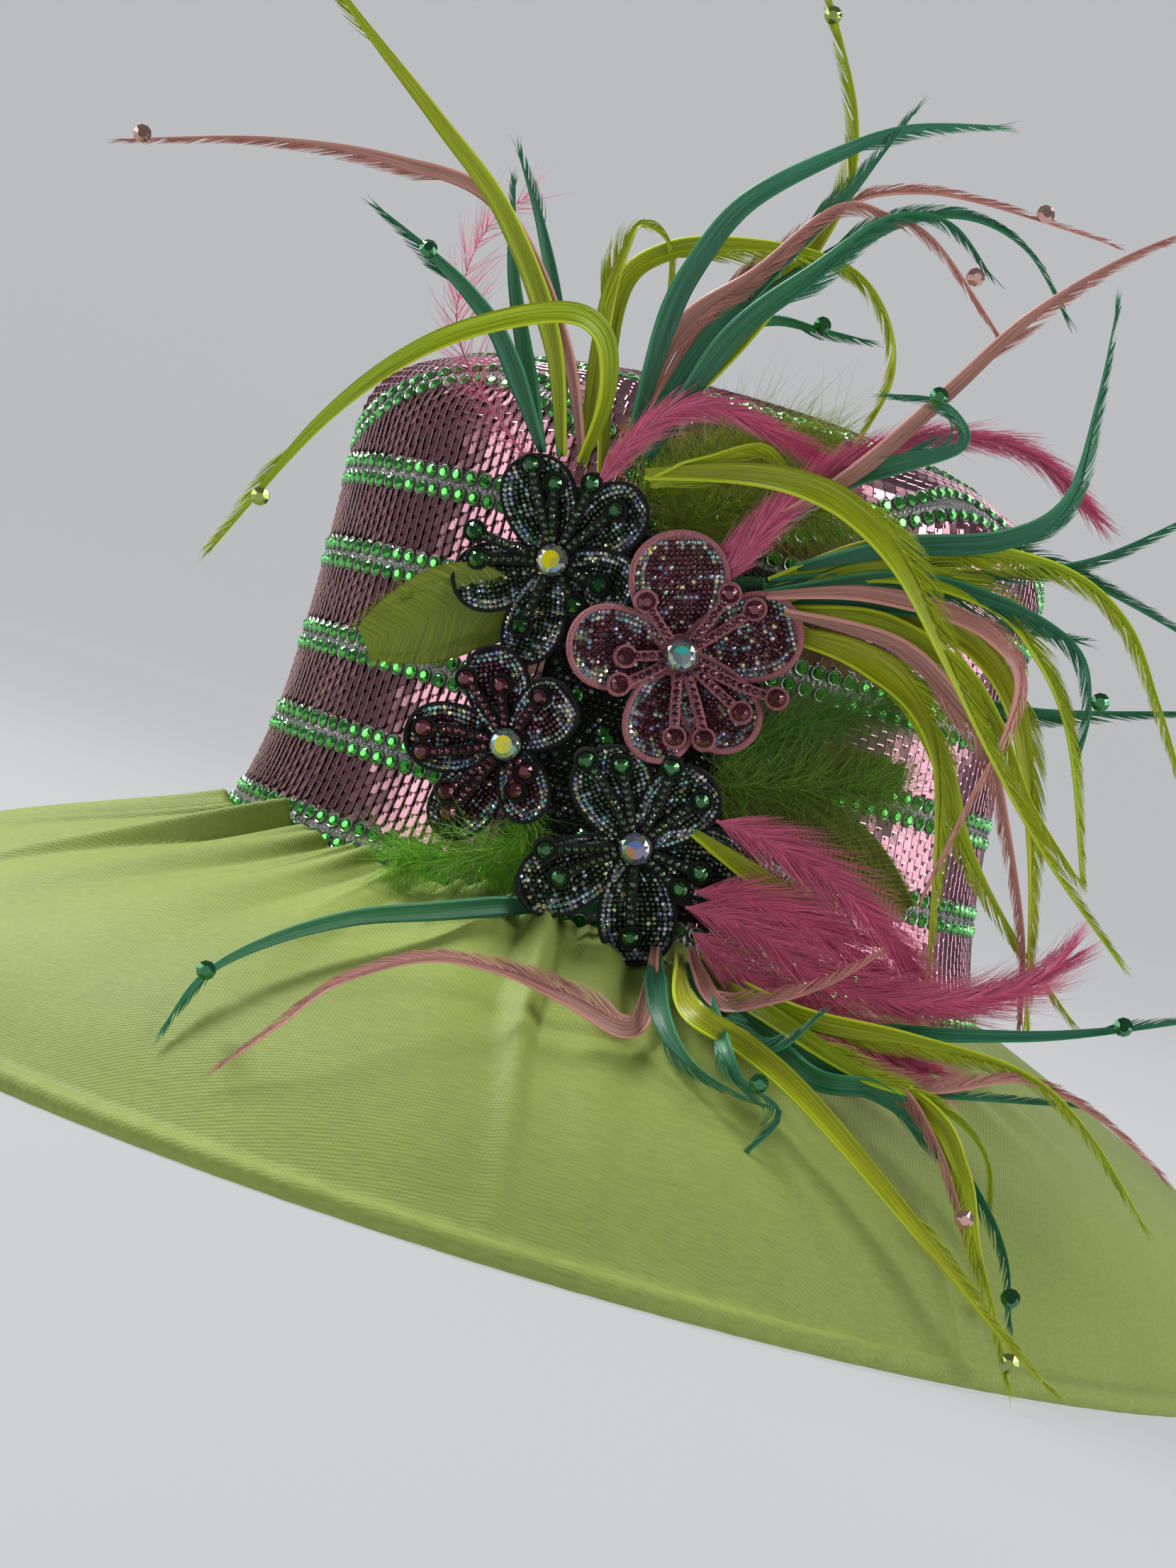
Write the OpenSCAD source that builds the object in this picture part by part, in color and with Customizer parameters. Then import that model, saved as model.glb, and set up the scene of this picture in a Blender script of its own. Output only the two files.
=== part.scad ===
// Wide-brimmed dress hat with a sequinned crown, a satin brim and a side trim of
// stone-set flowers and feathers.
// Millimetres. +Z is up, the front of the hat is -Y and the wearer's right is -X.
// The origin is the middle of the head opening, where the crown meets the brim.
// Angles round the crown start at the back (+Y) and grow towards the wearer's right.

/* [Head] */
// Half of the crown's length where it meets the brim
head_a = 103; // [98:1:108]
// Width of the crown as a share of its length
head_ratio = 0.835; // [0.82:0.005:0.86]

/* [Crown] */
// Height of the crown above the brim
crown_h = 140; // [136:1:146]
// Height where the side turns into the rounded tip
shoulder_h = 106; // [104:1:108]
// How much narrower than its base the crown's side is, each way
waist_in = 10; // [6:1:12]
// Lean of the crown to the back, in mm for each mm of height
crown_lean = 0.05; // [0:0.01:0.06]
// Slope of the crown's top, rising to the front
crown_tilt = 0.03; // [0:0.01:0.04]
// Thickness of the stiff buckram shells
buckram_t = 1.6; // [1.4:0.1:1.6]

/* [Brim] */
// Width of the brim at the front and the back
brim_long = 104; // [90:1:110]
// Width of the brim at the sides
brim_side = 91; // [80:1:100]
// Drop from the crown to the brim's edge
brim_drop = 60; // [58:1:66]
// Thickness of one satin layer
satin_t = 0.8; // [0.6:0.1:0.8]
// Radius of the rolled edge
edge_r = 2.4; // [2.2:0.1:2.8]
// Radius of the wire inside the rolled edge
wire_r = 1.2; // [0.8:0.1:1.4]

/* [Stone bands] */
// Width of a band with two rows of stones
band_w = 7.6; // [7:0.2:8]
// How far a band stands out from the buckram
band_t = 2.3; // [2:0.1:2.6]
// Height of the lowest band's middle
band_first = 4; // [4:0.5:5]
// Distance from band to band
band_step = 22.7; // [22:0.1:22.8]
// Middle height of the wavy band
wave_z = 114.5; // [113:0.5:115]
// Height of its waves
wave_amp = 10; // [6:1:10]

/* [Feathers] */
// Width of a stripped biot feather
biot_w = 5; // [3:0.5:6]
// Thickness of a feather at its quill
feather_t = 0.9; // [0.6:0.1:1.2]

/* [Hidden] */
seg = 40;
feather_steps = 2;
gap = 0.1;
waist_a = head_a - waist_in;
side_fade = 22;
lining_t = 0.6;
sweat_t = 1;
collar_t = 1.2;
collar_h = 14;
sweat_h = 27;
sequin_t = 1.5;
brim_shift = 3;
brim_end = 0.975;
tip_band_z = [131, 133.2];
dome_top = crown_h - 0.2;
dome_heights = [shoulder_h, 112, 118, 123, 127, 130.5, 133.5, 136, 138, dome_top];
side_heights = [0.2, 6, 14, 26, 45, 72, shoulder_h - gap];
brim_stops = [0, 0.15, 0.35, 0.55, 0.72, 0.86, brim_end];
tuck = -0.016;

satin_green = [0.45, 0.55, 0.16];
satin_dark = [0.3, 0.38, 0.1];
sequin_pink = [0.6, 0.4, 0.44];
stone_green = [0.2, 0.55, 0.15];
feather_green = [0.02, 0.3, 0.15];
feather_lime = [0.55, 0.68, 0.05];
feather_rose = [0.62, 0.36, 0.34];
feather_pink = [0.72, 0.12, 0.3];
feather_olive = [0.25, 0.33, 0.04];
felt_black = [0.03, 0.03, 0.03];
felt_rose = [0.55, 0.32, 0.36];

// Flowers: place, tilt down, turn to the front, petals [angle, length, width],
// stamens [angle, length]
flowers = [
    [[-88, 34, 81], 0, -12,
     [[120, 25, 20], [50, 26, 18], [210, 24, 18], [270, 25, 16], [-5, 22, 16]],
     [[120, 23], [108, 18], [76, 20], [54, 19], [178, 20], [194, 18], [262, 17], [-46, 12], [-14, 13]]],
    [[-97, 0, 68], 0, 4,
     [[108, 28, 25], [31, 28, 22], [-38, 25, 19], [269, 25, 18], [190, 26, 21]],
     [[142, 15], [68, 18], [48, 20], [197, 13], [225, 16], [279, 19], [-55, 20], [-28, 19], [-12, 24]]],
    [[-90, 32, 37], 4, -12,
     [[115, 23, 17], [53, 20, 17], [-52, 19, 14], [249, 26, 17], [190, 24, 18]],
     [[134, 18], [111, 14], [70, 14], [180, 20], [204, 20], [236, 18], [247, 21], [-36, 8], [-63, 11]]],
    [[-95, -3, 23], 8, 2,
     [[127, 25, 21], [62, 24, 19], [4, 27, 19], [-72, 27, 20], [219, 29, 19]],
     [[131, 24], [116, 20], [79, 21], [57, 19], [197, 21], [213, 19], [282, 21], [-28, 14], [-4, 16]]]
];
petal_t = 1.6;
stamen_t = 1.2;

// Routes of the feathers, from root to tip
upper_green_routes = [
    [[-90, 45, 105], [-100, 60, 125], [-105, 70, 133], [-110, 80, 138], [-110, 95, 145]],
    [[-90, 40, 105], [-90, 50, 135], [-90, 60, 155], [-90, 70, 170]],
    [[-85, 45, 105], [-85, 60, 135], [-85, 66, 150], [-80, 70, 165]],
    [[-90, 25, 110], [-100, 25, 140], [-105, 22, 155], [-110, 15, 170], [-110, 0, 185], [-110, -15, 196],
     [-105, -35, 204]],
    [[-90, 25, 110], [-95, 15, 140], [-100, 5, 160], [-105, -5, 177], [-110, -10, 188], [-110, -15, 200]],
    [[-95, 20, 110], [-105, 10, 140], [-110, -5, 160], [-110, -17, 175], [-110, -30, 178], [-110, -42, 170]],
    [[-85, 20, 110], [-90, 10, 145], [-95, -10, 170], [-100, -22, 180], [-100, -36, 184], [-100, -50, 180],
     [-100, -62, 168]],
    [[-80, 20, 115], [-75, 12, 145], [-70, 2, 153], [-70, -10, 154], [-70, -22, 155]],
    [[-105, -15, 105], [-110, -25, 117], [-115, -35, 123], [-120, -46, 130], [-122, -43, 135], [-122, -37, 137],
     [-120, -28, 136]],
    [[-100, -20, 95], [-110, -40, 105], [-115, -62, 113], [-120, -73, 125], [-120, -73, 148], [-115, -71, 170]]
];
upper_lime_routes = [
    [[-90, 40, 105], [-95, 50, 130], [-105, 68, 153], [-110, 88, 168], [-115, 115, 187], [-115, 125, 198]],
    [[-90, 35, 105], [-105, 33, 120], [-115, 38, 132], [-120, 50, 132], [-125, 73, 117], [-120, 92, 94],
     [-115, 108, 60]],
    [[-85, 35, 105], [-90, 40, 140], [-90, 40, 157], [-90, 38, 163], [-90, 30, 160], [-85, 27, 148]],
    [[-82, 30, 105], [-90, 38, 143], [-90, 30, 158], [-95, 10, 164], [-100, -10, 164], [-102, -22, 156],
     [-100, -28, 143], [-96, -25, 126]],
    [[-82, 25, 110], [-86, 10, 140], [-90, 0, 163], [-92, -5, 183], [-92, -2, 200], [-90, 8, 220], [-88, 15, 232]]
];
upper_rose_routes = [
    [[-90, 35, 105], [-94, 47, 130], [-100, 70, 155], [-105, 95, 157], [-105, 125, 153], [-100, 157, 145]],
    [[-90, 25, 110], [-95, 22, 140], [-100, 8, 157], [-105, -5, 175], [-108, -16, 176], [-110, -28, 173],
     [-108, -48, 158]],
    [[-86, 25, 110], [-90, 17, 145], [-95, 3, 165], [-98, -7, 180], [-100, -20, 186], [-100, -36, 188],
     [-95, -68, 188]],
    [[-100, -5, 97], [-112, -25, 117], [-118, -40, 140], [-122, -52, 160], [-125, -68, 178], [-126, -85, 192]]
];
hot_pink_routes = [
    [[-94, 30, 100], [-100, 23, 115], [-104, 12, 124], [-104, -5, 123], [-102, -25, 118]],
    [[-100, 0, 90], [-104, -10, 103], [-108, -20, 117], [-112, -38, 130], [-114, -57, 134], [-115, -70, 130],
     [-114, -82, 123]],
    [[-98, -3, 85], [-104, -9, 98], [-106, -14, 108], [-106, -21, 115]]
];
ostrich_routes = [
    [[-86, 45, 100], [-82, 65, 117], [-80, 74, 130], [-78, 75, 145], [-77, 72, 157], [-76, 65, 165]]
];
front_green_routes = [
    [[-96, -15, 90], [-102, -35, 103], [-106, -52, 109], [-106, -74, 112]],
    [[-98, -15, 90], [-106, -44, 99], [-112, -65, 105], [-116, -83, 114], [-118, -98, 128]],
    [[-95, -15, 90], [-102, -43, 103], [-108, -68, 112], [-112, -86, 110], [-114, -108, 104]],
    [[-100, -15, 87], [-108, -43, 98], [-114, -64, 99], [-118, -83, 94], [-119, -90, 83], [-116, -92, 71]],
    [[-96, -15, 86], [-102, -44, 93], [-106, -66, 95], [-106, -86, 97]],
    [[-90, -18, 80], [-96, -40, 80], [-100, -55, 77], [-106, -80, 78], [-108, -112, 88]]
];
front_lime_routes = [
    [[-98, 20, 106], [-108, 0, 111], [-116, -15, 112], [-120, -28, 109], [-124, -42, 100], [-126, -57, 84],
     [-126, -74, 65], [-124, -92, 47], [-120, -113, 30]],
    [[-98, -15, 90], [-104, -34, 103], [-110, -52, 108], [-116, -76, 109], [-119, -92, 102], [-118, -104, 88],
     [-116, -114, 75]],
    [[-98, -18, 80], [-104, -38, 80], [-108, -54, 74], [-110, -64, 62], [-110, -69, 45], [-108, -72, 30],
     [-104, -75, 15]],
    [[-96, -17, 84], [-104, -40, 88], [-110, -60, 83], [-114, -72, 73], [-116, -84, 58], [-114, -99, 46]],
    [[-94, -17, 86], [-102, -47, 92], [-110, -65, 88], [-114, -78, 74], [-114, -90, 45], [-110, -99, 10]],
    [[-92, -17, 83], [-98, -48, 76], [-104, -64, 62], [-108, -74, 45], [-110, -88, 30], [-108, -109, 14]],
    [[-96, -17, 86], [-104, -32, 97], [-110, -48, 101], [-114, -66, 99], [-117, -76, 92], [-118, -85, 82],
     [-117, -92, 69], [-113, -101, 45]],
    [[-98, 18, 104], [-104, 6, 111], [-106, -4, 118], [-104, -11, 116]]
];
front_rose_routes = [
    [[-102, -15, 87], [-110, -35, 93], [-116, -54, 94], [-120, -66, 91], [-120, -74, 84], [-118, -75, 70],
     [-116, -72, 56], [-112, -68, 32]],
    [[-104, -20, 84], [-110, -46, 84], [-114, -64, 74], [-116, -72, 66], [-116, -81, 50], [-114, -92, 28],
     [-110, -98, 10]]
];
lower_green_routes = [
    [[-90, -5, 8], [-96, 18, 2], [-110, 36, -4], [-122, 53, -10], [-135, 68, -19], [-145, 78, -29],
     [-152, 82, -41]],
    [[-95, -14, 2], [-124, -18, -9], [-136, -26, -17], [-142, -36, -20], [-140, -45, -21]],
    [[-95, -22, 0], [-128, -34, -7], [-136, -44, -9], [-130, -52, 0]],
    [[-95, -23, 0], [-138, -32, -10], [-146, -38, -17], [-148, -48, -21], [-148, -44, -31]],
    [[-95, -24, 0], [-118, -54, -2], [-124, -73, 2], [-126, -88, 6], [-128, -106, 12], [-128, -134, 24]],
    [[-95, -23, 0], [-128, -52, -13], [-132, -68, -12], [-134, -82, -17], [-138, -96, -28], [-142, -104, -38],
     [-148, -108, -50]],
    [[-92, -23, 0], [-122, -46, -6], [-130, -62, -12], [-130, -84, -8], [-126, -112, -3]]
];
lower_lime_routes = [
    [[-95, -20, 2], [-133, -24, -6], [-138, -38, -10], [-144, -52, -16], [-150, -70, -27], [-156, -88, -39],
     [-160, -104, -50], [-162, -117, -58]],
    [[-95, -23, 2], [-122, -46, -2], [-128, -72, 0], [-130, -98, 0], [-130, -115, -8], [-128, -134, -24]],
    [[-95, -23, 0], [-120, -40, -3], [-132, -64, -9], [-134, -81, -10], [-136, -94, -17], [-138, -98, -29]],
    [[-115, -44, -6], [-134, -78, -12], [-140, -90, -23], [-148, -96, -37], [-156, -103, -49], [-163, -108, -59]],
    [[-100, -15, 30], [-104, -34, 24], [-108, -54, 19], [-110, -73, 18]]
];
lower_rose_routes = [
    [[-98, -14, 2], [-128, -14, -14], [-136, 2, -11], [-136, 17, -9], [-142, 34, -11], [-152, 50, -21],
     [-157, 58, -32], [-160, 67, -44]],
    [[-95, -25, 2], [-126, -54, -7], [-132, -77, -8], [-130, -98, 0], [-130, -116, -3], [-128, -134, -12]],
    [[-96, -25, 0], [-126, -54, -8], [-132, -72, -10], [-138, -82, -18], [-142, -89, -27], [-146, -96, -38]],
    [[-96, -22, 4], [-122, -30, -4], [-128, -40, 0], [-130, -52, 8], [-130, -60, 16]]
];
lower_pink_routes = [
    [[-104, -18, 13], [-110, -33, 13], [-116, -53, 7], [-120, -72, 8], [-120, -89, 15], [-120, -98, 22],
     [-118, -103, 29]],
    [[-102, -19, 34], [-106, -33, 33], [-110, -49, 28], [-112, -64, 20], [-112, -73, 13]],
    [[-102, -19, 17], [-108, -33, 19], [-112, -52, 16], [-114, -68, 9]],
    [[-104, -21, 8], [-112, -38, 2], [-118, -60, -2], [-122, -81, -6]]
];
olive_leaf_routes = [
    [[-86, 38, 67], [-88, 51, 65], [-88, 61, 58], [-88, 72, 50]],
    [[-92, -20, 37], [-95, -35, 38], [-96, -51, 35], [-96, -67, 26]],
    [[-91, -20, 41], [-94, -33, 46], [-94, -44, 53], [-94, -58, 56]]
];
olive_marabou_routes = [
    [[-84, 20, 98], [-88, 8, 112], [-90, -5, 122], [-90, -20, 126]],
    [[-84, 12, 93], [-90, 0, 104], [-92, -15, 108], [-92, -30, 108]],
    [[-92, -15, 46], [-94, -27, 57], [-96, -40, 66], [-96, -56, 73]],
    [[-94, -14, 41], [-96, -33, 46], [-98, -48, 50], [-96, -58, 53]],
    [[-90, 24, 15], [-91, 32, 10], [-91, 42, 6], [-90, 50, 3]]
];
green_crystals = [[-112, 81, 139], [-72, -10, 155], [-124, -38, 138], [-121, -92, 84], [-130, -116, 17],
                  [-150, 77, -27], [-149, -106, -44], [-149, -42, -16]];
rose_crystals = [[-102, 153, 147], [-112, -39, 168], [-100, -51, 189], [-148, -92, -31]];
lime_crystals = [[-92, 9, 221], [-120, 100, 74], [-162, -107, -55]];
crystal_r = 2.2;
crystal_t = 1.4;

// Each spray's quills are bound together at [place, direction]
upper_wrap = [[-86, 32, 94], [-2, 3, 12]];
front_wrap = [[-92, -8, 88], [-4, -12, 3]];
lower_wrap = [[-90, -10, 10], [-6, -10, -6]];

// ---- Shape of the crown and the brim ----

// Half length of the buckram crown at a height
function crown_a(z) =
    z <= shoulder_h
    ? waist_a + waist_in * exp(-z / side_fade)
    : waist_a * sqrt(1 - pow((z - shoulder_h) / (crown_h - shoulder_h), 3));

// Upward part of the surface's normal: 0 on the side, 1 at the middle of the tip
function rise(z) = z <= shoulder_h ? 0 : pow((z - shoulder_h) / (crown_h - shoulder_h), 1.2);

// Height of the wavy band's line at an angle, off its middle
function wave(t, amp) = amp * sin(4 * t - 110);

// One point on the crown, moved out from the buckram's face by off
function crown_point(t, z, off) =
    let (up = rise(z), out = off * sqrt(1 - up * up), a = crown_a(z),
         y = (a + out) * cos(t), x = -(a * head_ratio + out) * sin(t))
    [x, y + crown_lean * z, z + off * up - crown_tilt * pow(z / crown_h, 2) * y];

// A full ring round the crown
function crown_ring(z, off, amp = 0) =
    [for (i = [0 : seg - 1]) let (t = 360 * i / seg) crown_point(t, z + wave(t, amp), off)];

// A full ring round the brim at a share u of its width, lowered by down
function brim_ring(u, down, out = 0) =
    let (a = head_a + brim_long * u + out,
         b = head_a * head_ratio + brim_side * u + out,
         z = u < 0 ? 0 : -brim_drop * (0.6 * u + 0.4 * pow(u, 5)))
    [for (i = [0 : seg - 1]) let (t = 360 * i / seg) [-b * sin(t), a * cos(t) + brim_shift * u, z - down]];

// ---- Solids made from rings ----

function joined(lists) = [for (l = lists) each l];
function backwards(l) = [for (i = [len(l) - 1 : -1 : 0]) l[i]];

// Faces between ring k and ring m of n points each
function wall(k, m, n) =
    [for (i = [0 : n - 1]) let (j = (i + 1) % n)
        each [[k * n + i, k * n + j, m * n + j], [k * n + i, m * n + j, m * n + i]]];

// A closed loop of rings: a band, a shell with an open top or a tube bent into an oval
module ring_loop(rings) {
    n = len(rings[0]);
    count = len(rings);
    polyhedron(joined(rings), [for (k = [0 : count - 1]) each wall(k, (k + 1) % count, n)], 4);
}

// A stack of rings closed by its first and last ring
module ring_stack(rings) {
    n = len(rings[0]);
    last = len(rings) - 1;
    sides = [for (k = [0 : last - 1]) each wall(k, k + 1, n)];
    first_cap = [for (i = [n - 1 : -1 : 0]) i];
    last_cap = [for (i = [0 : n - 1]) last * n + i];
    polyhedron(joined(rings), concat(sides, [first_cap, last_cap]), 4);
}

// A strip round the crown between two heights and two offsets
module crown_strip(heights, inner, outer, amp_low = 0, amp_high = 0) {
    last = len(heights) - 1;
    amp = [for (k = [0 : last]) amp_low + (amp_high - amp_low) * k / last];
    ring_loop(concat(
        [for (k = [0 : last]) crown_ring(heights[k], inner, amp[k])],
        [for (k = [last : -1 : 0]) crown_ring(heights[k], outer, amp[k])]));
}

// A cap over the crown's tip, from the heights given up to the middle
module crown_cap(heights, inner, outer) {
    ring_stack(concat(
        [for (z = backwards(heights)) crown_ring(z, inner)],
        [for (z = heights) crown_ring(z, outer)]));
}

// One layer of the brim
module brim_layer(top, bottom, from) {
    stops = concat([from], [for (u = brim_stops) if (u > from) u]);
    ring_loop(concat(
        [for (u = backwards(stops)) brim_ring(u, top)],
        [for (u = stops) brim_ring(u, bottom)]));
}

// A tube that follows the brim's edge
module edge_tube(radius, sides) {
    middle = 1.6;
    ring_loop([for (k = [0 : sides - 1]) let (q = -360 * k / sides)
        brim_ring(1, middle - radius * sin(q), radius * cos(q))]);
}

// ---- Feathers ----

function spline_point(a, b, c, d, t) =
    0.5 * (2 * b + (c - a) * t + (2 * a - 5 * b + 4 * c - d) * t * t + (3 * b - a - 3 * c + d) * t * t * t);

// A smooth line through the points of a route
function smooth(p) =
    let (n = len(p))
    concat([for (i = [0 : n - 2], k = [0 : feather_steps - 1])
        spline_point(p[max(i - 1, 0)], p[i], p[i + 1], p[min(i + 2, n - 1)], k / feather_steps)],
        [p[n - 1]]);

function unit(v) = v / norm(v);

// Width of a feather at t from root to tip: a slim biot, or a leaf that is widest in its middle
function biot_share(t) = min(1, 0.4 + 3 * t) * (1 - 0.92 * pow(t, 3));
function leaf_share(t) = 0.08 + 0.92 * pow(sin(180 * min(0.98, max(0.02, t))), 0.8);

// Four points across a feather: two edges, its face and its back
function feather_ring(line, i, w, leaf) =
    let (n = len(line),
         along = unit(line[min(i + 1, n - 1)] - line[max(i - 1, 0)]),
         side = unit(cross(along, [1, 0.1, 0.1])),
         face = cross(side, along),
         t = i / (n - 1),
         half = w / 2 * (leaf ? leaf_share(t) : biot_share(t)))
    [line[i] + side * half, line[i] + face * feather_t / 2, line[i] - side * half, line[i] - face * feather_t / 2];

module feather(route, w, leaf = false) {
    line = smooth(route);
    ring_stack([for (i = [0 : len(line) - 1]) feather_ring(line, i, w, leaf)]);
}

module feathers(routes, w, leaf = false) {
    for (r = routes) feather(r, w, leaf);
}

// ---- Flowers ----

// Turns a flower drawn flat, facing up, so that it faces the wearer's right
module on_side(place, tilt = 0, turn = 0) {
    translate(place) rotate([90, 0, -90]) rotate([tilt, turn, 0]) children();
}

// How far a petal [angle, length, width] reaches in a direction from the flower's middle
function petal_reach(petal, q) =
    let (away = (q - petal[0] + 900) % 360 - 180,
         spread = atan(0.75 * petal[2] / petal[1]) + 5)
    abs(away) >= spread ? 0 : petal[1] * sqrt(1 - pow(away / spread, 2));

module flower_petals(k) {
    f = flowers[k];
    hub_r = 5;
    on_side(f[0], f[1], f[2]) linear_extrude(petal_t)
        polygon([for (q = [0 : 5 : 355])
            max([hub_r, for (p = f[3]) petal_reach(p, q)]) * [cos(q), sin(q)]]);
}

module flower_stamens(k) {
    f = flowers[k];
    strip_w = 2.6;
    end_r = 2.5;
    on_side(f[0], f[1], f[2]) translate([0, 0, petal_t + 0.1]) linear_extrude(stamen_t) {
        for (s = f[4]) rotate(s[0]) {
            translate([0, -strip_w / 2]) square([s[1] - end_r, strip_w]);
            translate([s[1] - end_r, 0]) circle(end_r, $fn = 24);
        }
    }
}

module flower_stone(k) {
    f = flowers[k];
    stone_r = 3.8;
    table_r = 2.2;
    on_side(f[0], f[1], f[2]) translate([0, 0, petal_t + stamen_t + 0.2]) {
        cylinder(r = stone_r, h = 0.8, $fn = 32);
        translate([0, 0, 0.8]) cylinder(r1 = stone_r, r2 = table_r, h = 1.4, $fn = 32);
    }
}

module crystals(places) {
    for (p = places) on_side(p) cylinder(r = crystal_r, h = crystal_t, $fn = 24);
}

module spray_wrap(w) {
    wrap_r = 2.2;
    d = w[1];
    translate(w[0]) rotate([0, acos(d[2] / norm(d)), atan2(d[1], d[0])])
        cylinder(r = wrap_r, h = norm(d), center = true, $fn = 24);
}

// ---- Pieces ----

module crown_side_shell() {
    color("tan") crown_strip(side_heights, -buckram_t, 0);
}

module crown_tip_shell() {
    color("tan") crown_cap(dome_heights, -buckram_t, 0);
}

module headsize_collar() {
    inner = -buckram_t - gap - collar_t;
    color("tan") crown_strip([0.2, collar_h], inner, -buckram_t - gap);
}

module crown_lining() {
    outer = -buckram_t - gap;
    color("dimgray") crown_cap(concat([collar_h + 0.5, 26, 45, 72], dome_heights), outer - lining_t, outer);
}

module sweatband() {
    outer = -buckram_t - collar_t - 3 * gap;
    color("black") crown_strip([0.2, 14, sweat_h], outer - sweat_t, outer);
}

module brim_base() {
    color("tan") brim_layer(satin_t + gap, satin_t + gap + buckram_t, tuck);
}

module brim_cover_top() {
    color(satin_green) brim_layer(0, satin_t, tuck);
}

module brim_cover_under() {
    top = satin_t + buckram_t + 2 * gap;
    color(satin_dark) brim_layer(top, top + satin_t, tuck);
}

module brim_edge_binding() {
    color(satin_green) difference() {
        edge_tube(edge_r, 8);
        edge_tube(wire_r + 0.2, 6);
    }
}

module brim_edge_wire() {
    color("silver") edge_tube(wire_r, 6);
}

function band_z(k) = band_first + band_step * (k - 1);

module stone_band(k) {
    color(stone_green) crown_strip([band_z(k) - band_w / 2, band_z(k) + band_w / 2], gap, band_t);
}

module sequin_tier(k) {
    low = band_z(k) + band_w / 2 + gap;
    high = k < 5 ? band_z(k + 1) - band_w / 2 - gap : wave_z - band_w / 2 - gap;
    color(sequin_pink) crown_strip([low, (low + high) / 2, high], gap, sequin_t, 0, k < 5 ? 0 : wave_amp);
}

module wave_band() {
    low = wave_z - band_w / 2;
    color(stone_green) crown_strip([low, wave_z, low + band_w], gap, band_t, wave_amp, wave_amp);
}

module sequin_tier_6() {
    low = wave_z + band_w / 2 + gap;
    high = tip_band_z[0] - gap;
    color(sequin_pink) crown_strip([low, (low + high) / 2, high], gap, sequin_t, wave_amp, 0);
}

module tip_band() {
    color(stone_green) crown_strip(tip_band_z, gap, band_t);
}

module sequin_tip() {
    color(sequin_pink) crown_cap([tip_band_z[1] + gap, 136, 138, dome_top], gap, sequin_t);
}

// Felt backing that follows the crown's side under the flowers
module trim_pad() {
    steps = 6;
    from = 74;
    to = 104;
    heights = [12, 30, 55, 80, 94];
    near = band_t + gap;
    far = band_t + 2.2;
    rows = [for (k = [0 : steps]) let (t = from + (to - from) * k / steps) concat(
        [for (z = heights) crown_point(t, z, near)],
        [for (z = backwards(heights)) crown_point(t, z, far)])];
    color(felt_black) ring_stack(backwards(rows));
}

module flower_petals_coloured(k) {
    color(k == 1 ? felt_rose : felt_black) flower_petals(k);
}

crown_side_shell();
crown_tip_shell();
headsize_collar();
crown_lining();
sweatband();
brim_base();
brim_cover_top();
brim_cover_under();
brim_edge_binding();
brim_edge_wire();
sequin_tier(1);  // sequin_tier_1
sequin_tier(2);  // sequin_tier_2
sequin_tier(3);  // sequin_tier_3
sequin_tier(4);  // sequin_tier_4
sequin_tier(5);  // sequin_tier_5
sequin_tier_6();
sequin_tip();
stone_band(1);  // stone_band_1
stone_band(2);  // stone_band_2
stone_band(3);  // stone_band_3
stone_band(4);  // stone_band_4
stone_band(5);  // stone_band_5
wave_band();
tip_band();
trim_pad();
flower_petals_coloured(0);  // flower_1_petals
color(stone_green) flower_stamens(0);  // flower_1_stamens
color("lightcyan") flower_stone(0);  // flower_1_stone
flower_petals_coloured(1);  // flower_2_petals
color(feather_rose) flower_stamens(1);  // flower_2_stamens
color("lightcyan") flower_stone(1);  // flower_2_stone
flower_petals_coloured(2);  // flower_3_petals
color(sequin_pink) flower_stamens(2);  // flower_3_stamens
color("lightcyan") flower_stone(2);  // flower_3_stone
flower_petals_coloured(3);  // flower_4_petals
color(stone_green) flower_stamens(3);  // flower_4_stamens
color("lightcyan") flower_stone(3);  // flower_4_stone
color("darkgreen") spray_wrap(upper_wrap);  // upper_spray_wrap
color("darkgreen") spray_wrap(front_wrap);  // front_spray_wrap
color("darkgreen") spray_wrap(lower_wrap);  // lower_spray_wrap
color(feather_green) feathers(upper_green_routes, biot_w);  // upper_green_feathers
color(feather_lime) feathers(upper_lime_routes, biot_w);  // upper_lime_feathers
color(feather_rose) feathers(upper_rose_routes, biot_w);  // upper_rose_feathers
color(feather_pink) feathers(hot_pink_routes, 14);  // hot_pink_hackles
color(feather_pink) feathers(ostrich_routes, 16);  // ostrich_wisp
color(feather_green) feathers(front_green_routes, biot_w);  // front_green_feathers
color(feather_lime) feathers(front_lime_routes, 7);  // front_lime_feathers
color(feather_rose) feathers(front_rose_routes, biot_w);  // front_rose_feathers
color(feather_green) feathers(lower_green_routes, biot_w);  // lower_green_feathers
color(feather_lime) feathers(lower_lime_routes, biot_w);  // lower_lime_feathers
color(feather_rose) feathers(lower_rose_routes, biot_w);  // lower_rose_feathers
color(feather_pink) feathers(lower_pink_routes, 18);  // lower_pink_hackles
color(feather_olive) feathers(olive_leaf_routes, 22, true);  // olive_leaf_feathers
color(feather_olive) feathers(olive_marabou_routes, 26, true);  // olive_marabou
color(stone_green) crystals(green_crystals);  // green_tip_crystals
color(feather_rose) crystals(rose_crystals);  // rose_tip_crystals
color(feather_lime) crystals(lime_crystals);  // lime_tip_crystals
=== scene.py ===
"""Looks of the sequinned dress hat: camera, floor, light, and every visible piece.

Lengths are in millimetres in this script and turn into metres when a mesh is made.
The row frame is the CAD model's: +Z up, -Y to the wearer's front, -X to the wearer's right,
origin in the middle of the head opening. Angles round the crown start at the back and grow
towards the wearer's right.
"""

import math

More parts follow.
